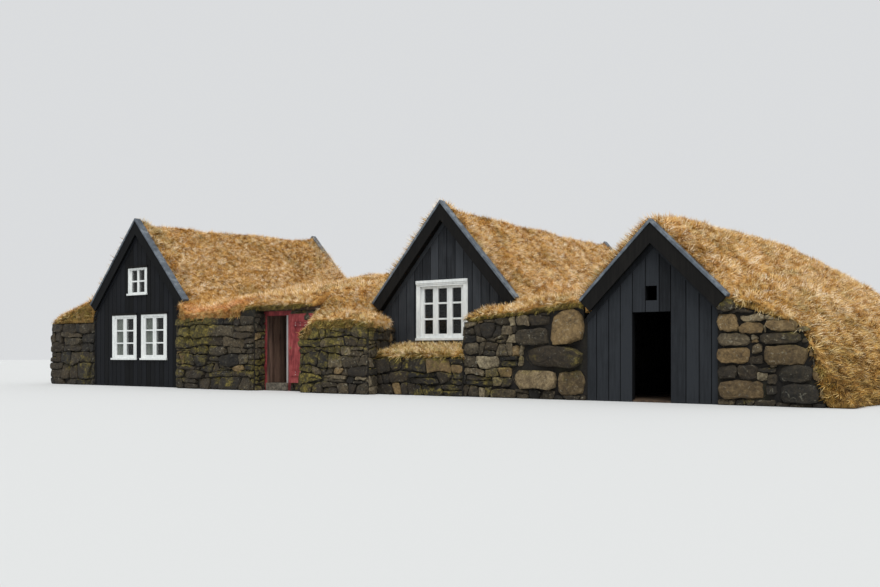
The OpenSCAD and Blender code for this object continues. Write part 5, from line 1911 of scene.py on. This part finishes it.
@dataclass
class Joinery:
    """The cap boards, barge boards, door frame and threshold, with their edges worn."""

    caps: tuple[tuple[str, House], ...] = (
        ("left_cap_boards", LEFT), ("middle_cap_boards", MIDDLE), ("right_cap_boards", RIGHT))
    worn: tuple[tuple[str, float], ...] = (
        ("left_barge_boards", 0.005), ("middle_barge_boards", 0.005), ("right_barge_boards", 0.005),
        ("entry_door_frame", 0.006), ("entry_threshold", 0.018))
    cap_worn: float = 0.008
    cap_more: float = 0.08
    cap_lift: float = 0.03
    doorway: Pair = (-5.0, -4.1)

    def build(self, paint: "Paint") -> None:
        """Makes the worn pieces.

        Args:
            paint: The finishes.
        """
        for node, width in self.worn:
            self.finish(eased(solid_copy(node + "_worn", node), width), node, paint)
        for node, house in self.caps:
            caps = solid_copy(node + "_worn", node)
            for vert in caps.data.vertices:
                inward = 1 if vert.co.y < house.front + 1 else -1
                end = house.from_end(vert.co.y)
                if vert.co.z > house.roof(vert.co.x, vert.co.y, 0.02):
                    vert.co.z += self.cap_lift
                if end > 0.05:
                    vert.co.y += inward * self.cap_more
            self.finish(eased(caps, self.cap_worn), node, paint)

    def finish(self, piece: Object, node: str, paint: "Paint") -> None:
        """Gives a worn piece its finish; the inner sides of the door frame take the passage lining's brown
        instead of red.

        Args:
            piece: The piece.
            node: The solid that it stands for.
            paint: The finishes.
        """
        repaint(piece.data, paint.finish(node))
        if node == "entry_door_frame":
            piece.data.materials.append(paint.lining)
            left, right = self.doorway
            for face in piece.data.polygons:
                face.material_index = int(abs(face.normal.x) > 0.7 and left < face.center.x < right)
        settle(piece, Body.HOUSE, paint.slots[node], node)


class Paint:
    """The finishes, and the solids that stay as they are."""

    def __init__(self) -> None:
        """Makes the finishes."""
        bare = BareBoards().material()
        self.slots = {part["node"]: Slot(part["material_slot"]) for part in frame["record"]["subparts"]}
        self.black, self.grey, self.slate, self.brown = (
            TarredBoards(name + "_tar", ((0.32, dark), (0.66, worn))).material()
            for name, dark, worn in (("black", "#060708", "#15171b"), ("grey", "#1f2124", "#393c40"),
                                     ("slate", "#15171a", "#2b2e32"), ("brown", "#0e0d0c", "#22201d")))
        self.silver, self.lining = (
            BareBoards(name, ((0.34, dark), (0.68, light)), stretch=(1, 1, 0.12)).material()
            for name, dark, light in (("silvered_boards", "#6d6b68", "#b3b1ae"),
                                      ("passage_lining", "#3b2a22", "#8a6c5b")))
        self.net = Netting().material()
        self.finishes = {
            Slot.STONE: WallEarth().material(), Slot.TURF: Sod().material(), Slot.BLACK_BOARDS: self.grey,
            Slot.CAPS: CapPaint().material(), Slot.ROOF_BOARDS: bare, Slot.RED_BOARDS: RedPaint().material(),
            Slot.WHITE: WhitePaint().material(), Slot.GLASS: Pane().material(), Slot.FLOOR: bare,
            Slot.IRON: ForgedIron().material(), Slot.THRESHOLD: SlabStone().material(),
        }

    def finish(self, node: str) -> Material:
        """Picks the finish of a solid: tar on gables, barge boards and house roofs, and else its slot's; the
        gables' black tar behind the boards is partly painted shade in the gaps between them.

        Args:
            node: Its name.

        Returns:
            Its material.
        """
        if node == "left_barge_boards":
            return self.black
        if "barge" in node or (node.endswith("roof_boards") and not node.startswith("entry")):
            return self.brown
        # Gable plates get black tar so that the gaps between the boards in front of them read dark: painted
        # shade.
        return self.black if "gable" in node else self.finishes[self.slots[node]]

    def dress(self) -> None:
        """Assigns each solid its finish."""
        for node in self.slots:
            repaint(frame["nodes"][node].data, self.finish(node))


def gable_boards(paint: Paint) -> None:
    """Boards the six gables.

    Args:
        paint: The finishes.
    """
    left = {"pitch": 0.2, "offset": -10.21, "gap": 0.012}
    right = {"joints": (4.524, 4.788, 5.037, 5.292, 5.561, 5.843, 6.073, 6.377, 6.632, 6.870)}
    right_holes = ((5.292, 6.073, -1.0, 1.777), (5.567, 5.797, 2.0, 2.285))
    for number, (name, house, sizes, holes, coat) in enumerate((
            ("left", LEFT, left, tuple(window.hole for window in LEFT_WINDOWS), paint.black),
            ("middle", MIDDLE, {}, (MIDDLE_WINDOW.hole,), paint.grey),
            ("right", RIGHT, right, right_holes, paint.slate))):
        Boarding(name + "_front_boards", house, holes=holes, seed=2 * number + 1, **sizes).build(coat)
        Boarding(name + "_rear_boards", house, rear=True, seed=2 * number + 2, **sizes).build(coat)


@dataclass
class Studio:
    """A pale floor, soft light and the camera at the photograph's place."""

    floor_half: float = 150.0
    sky: float = 0.74
    seen_sky: float = 0.78
    sun: float = 2.2
    sun_wide: float = 35.0
    sun_turn: Point = (31.0, 12.0, 20.0)
    camera_at: Point = (12.2, -16.8, 0.93)
    camera_turn: float = 34.5
    sensor: float = 36.0
    lens: float = 36.614
    shift: float = 0.0699
    sight: float = 500.0

    def build(self) -> None:
        """Makes the floor, the light and the camera."""
        h = self.floor_half
        floor = new_piece("studio_floor", [(-h, -h, 0), (h, -h, 0), (h, h, 0), (-h, h, 0)], [(0, 1, 2, 3)],
                          Shader("studio_floor").close(shade("#cfd0cf"), 0.9, Specular_IOR_Level=0.1))
        scene = bpy.context.scene
        scene.world = bpy.data.worlds.new("studio")
        scene.world.use_nodes = True
        sky = Tree(scene.world.node_tree)
        sky.tree.nodes.clear()
        path = sky.tree.nodes.new("ShaderNodeLightPath")
        direct, mirrored, through = (Sock(sky, path.outputs[f"Is {ray} Ray"])
                                     for ray in ("Camera", "Glossy", "Transmission"))
        seen = sky.maths("MAXIMUM", sky.maths("MAXIMUM", direct, mirrored), through)
        level = seen * (self.seen_sky - self.sky) + self.sky
        glow = sky.node("ShaderNodeBackground", {}, {"Color": shade("#f4f6f8"), "Strength": level})
        sky.node("ShaderNodeOutputWorld", {}, {"Surface": glow}, None)
        lamp = bpy.data.lights.new("sun", "SUN")
        lamp.energy, lamp.angle = self.sun, math.radians(self.sun_wide)
        sun = link(bpy.data.objects.new("sun", lamp))
        sun.rotation_euler = [math.radians(turn) for turn in self.sun_turn]
        lens = bpy.data.cameras.new("camera")
        lens.sensor_width, lens.lens = self.sensor, self.lens
        lens.shift_y, lens.clip_end = self.shift, self.sight
        camera = link(bpy.data.objects.new("camera", lens))
        camera.location = self.camera_at
        camera.rotation_euler = (math.pi / 2, 0, math.radians(self.camera_turn))
        scene.camera = camera
        scene.view_settings.view_transform = "Standard"


def main() -> None:
    """Builds the studio, then each sub-assembly in order."""
    logging.basicConfig(level=logging.INFO, format="%(name)s: %(message)s")
    Studio().build()
    paint = Paint()
    paint.dress()
    Joinery().build(paint)
    gable_boards(paint)
    Glazing().build(paint.finishes[Slot.WHITE], paint.brown, paint.net)
    RedDoor().build(paint.finishes[Slot.RED_BOARDS], paint.lining, paint.silver)
    Turf().build()
    stone = {False: Boulder("bare_stone", 0.25).material(), True: Boulder("mossy_stone", 0.95).material()}
    for wall in stone_walls():
        wall.build(stone)
    MossClump().build(Boulder("thick_moss", 1.6).material())


if __name__ == "__main__":
    main()
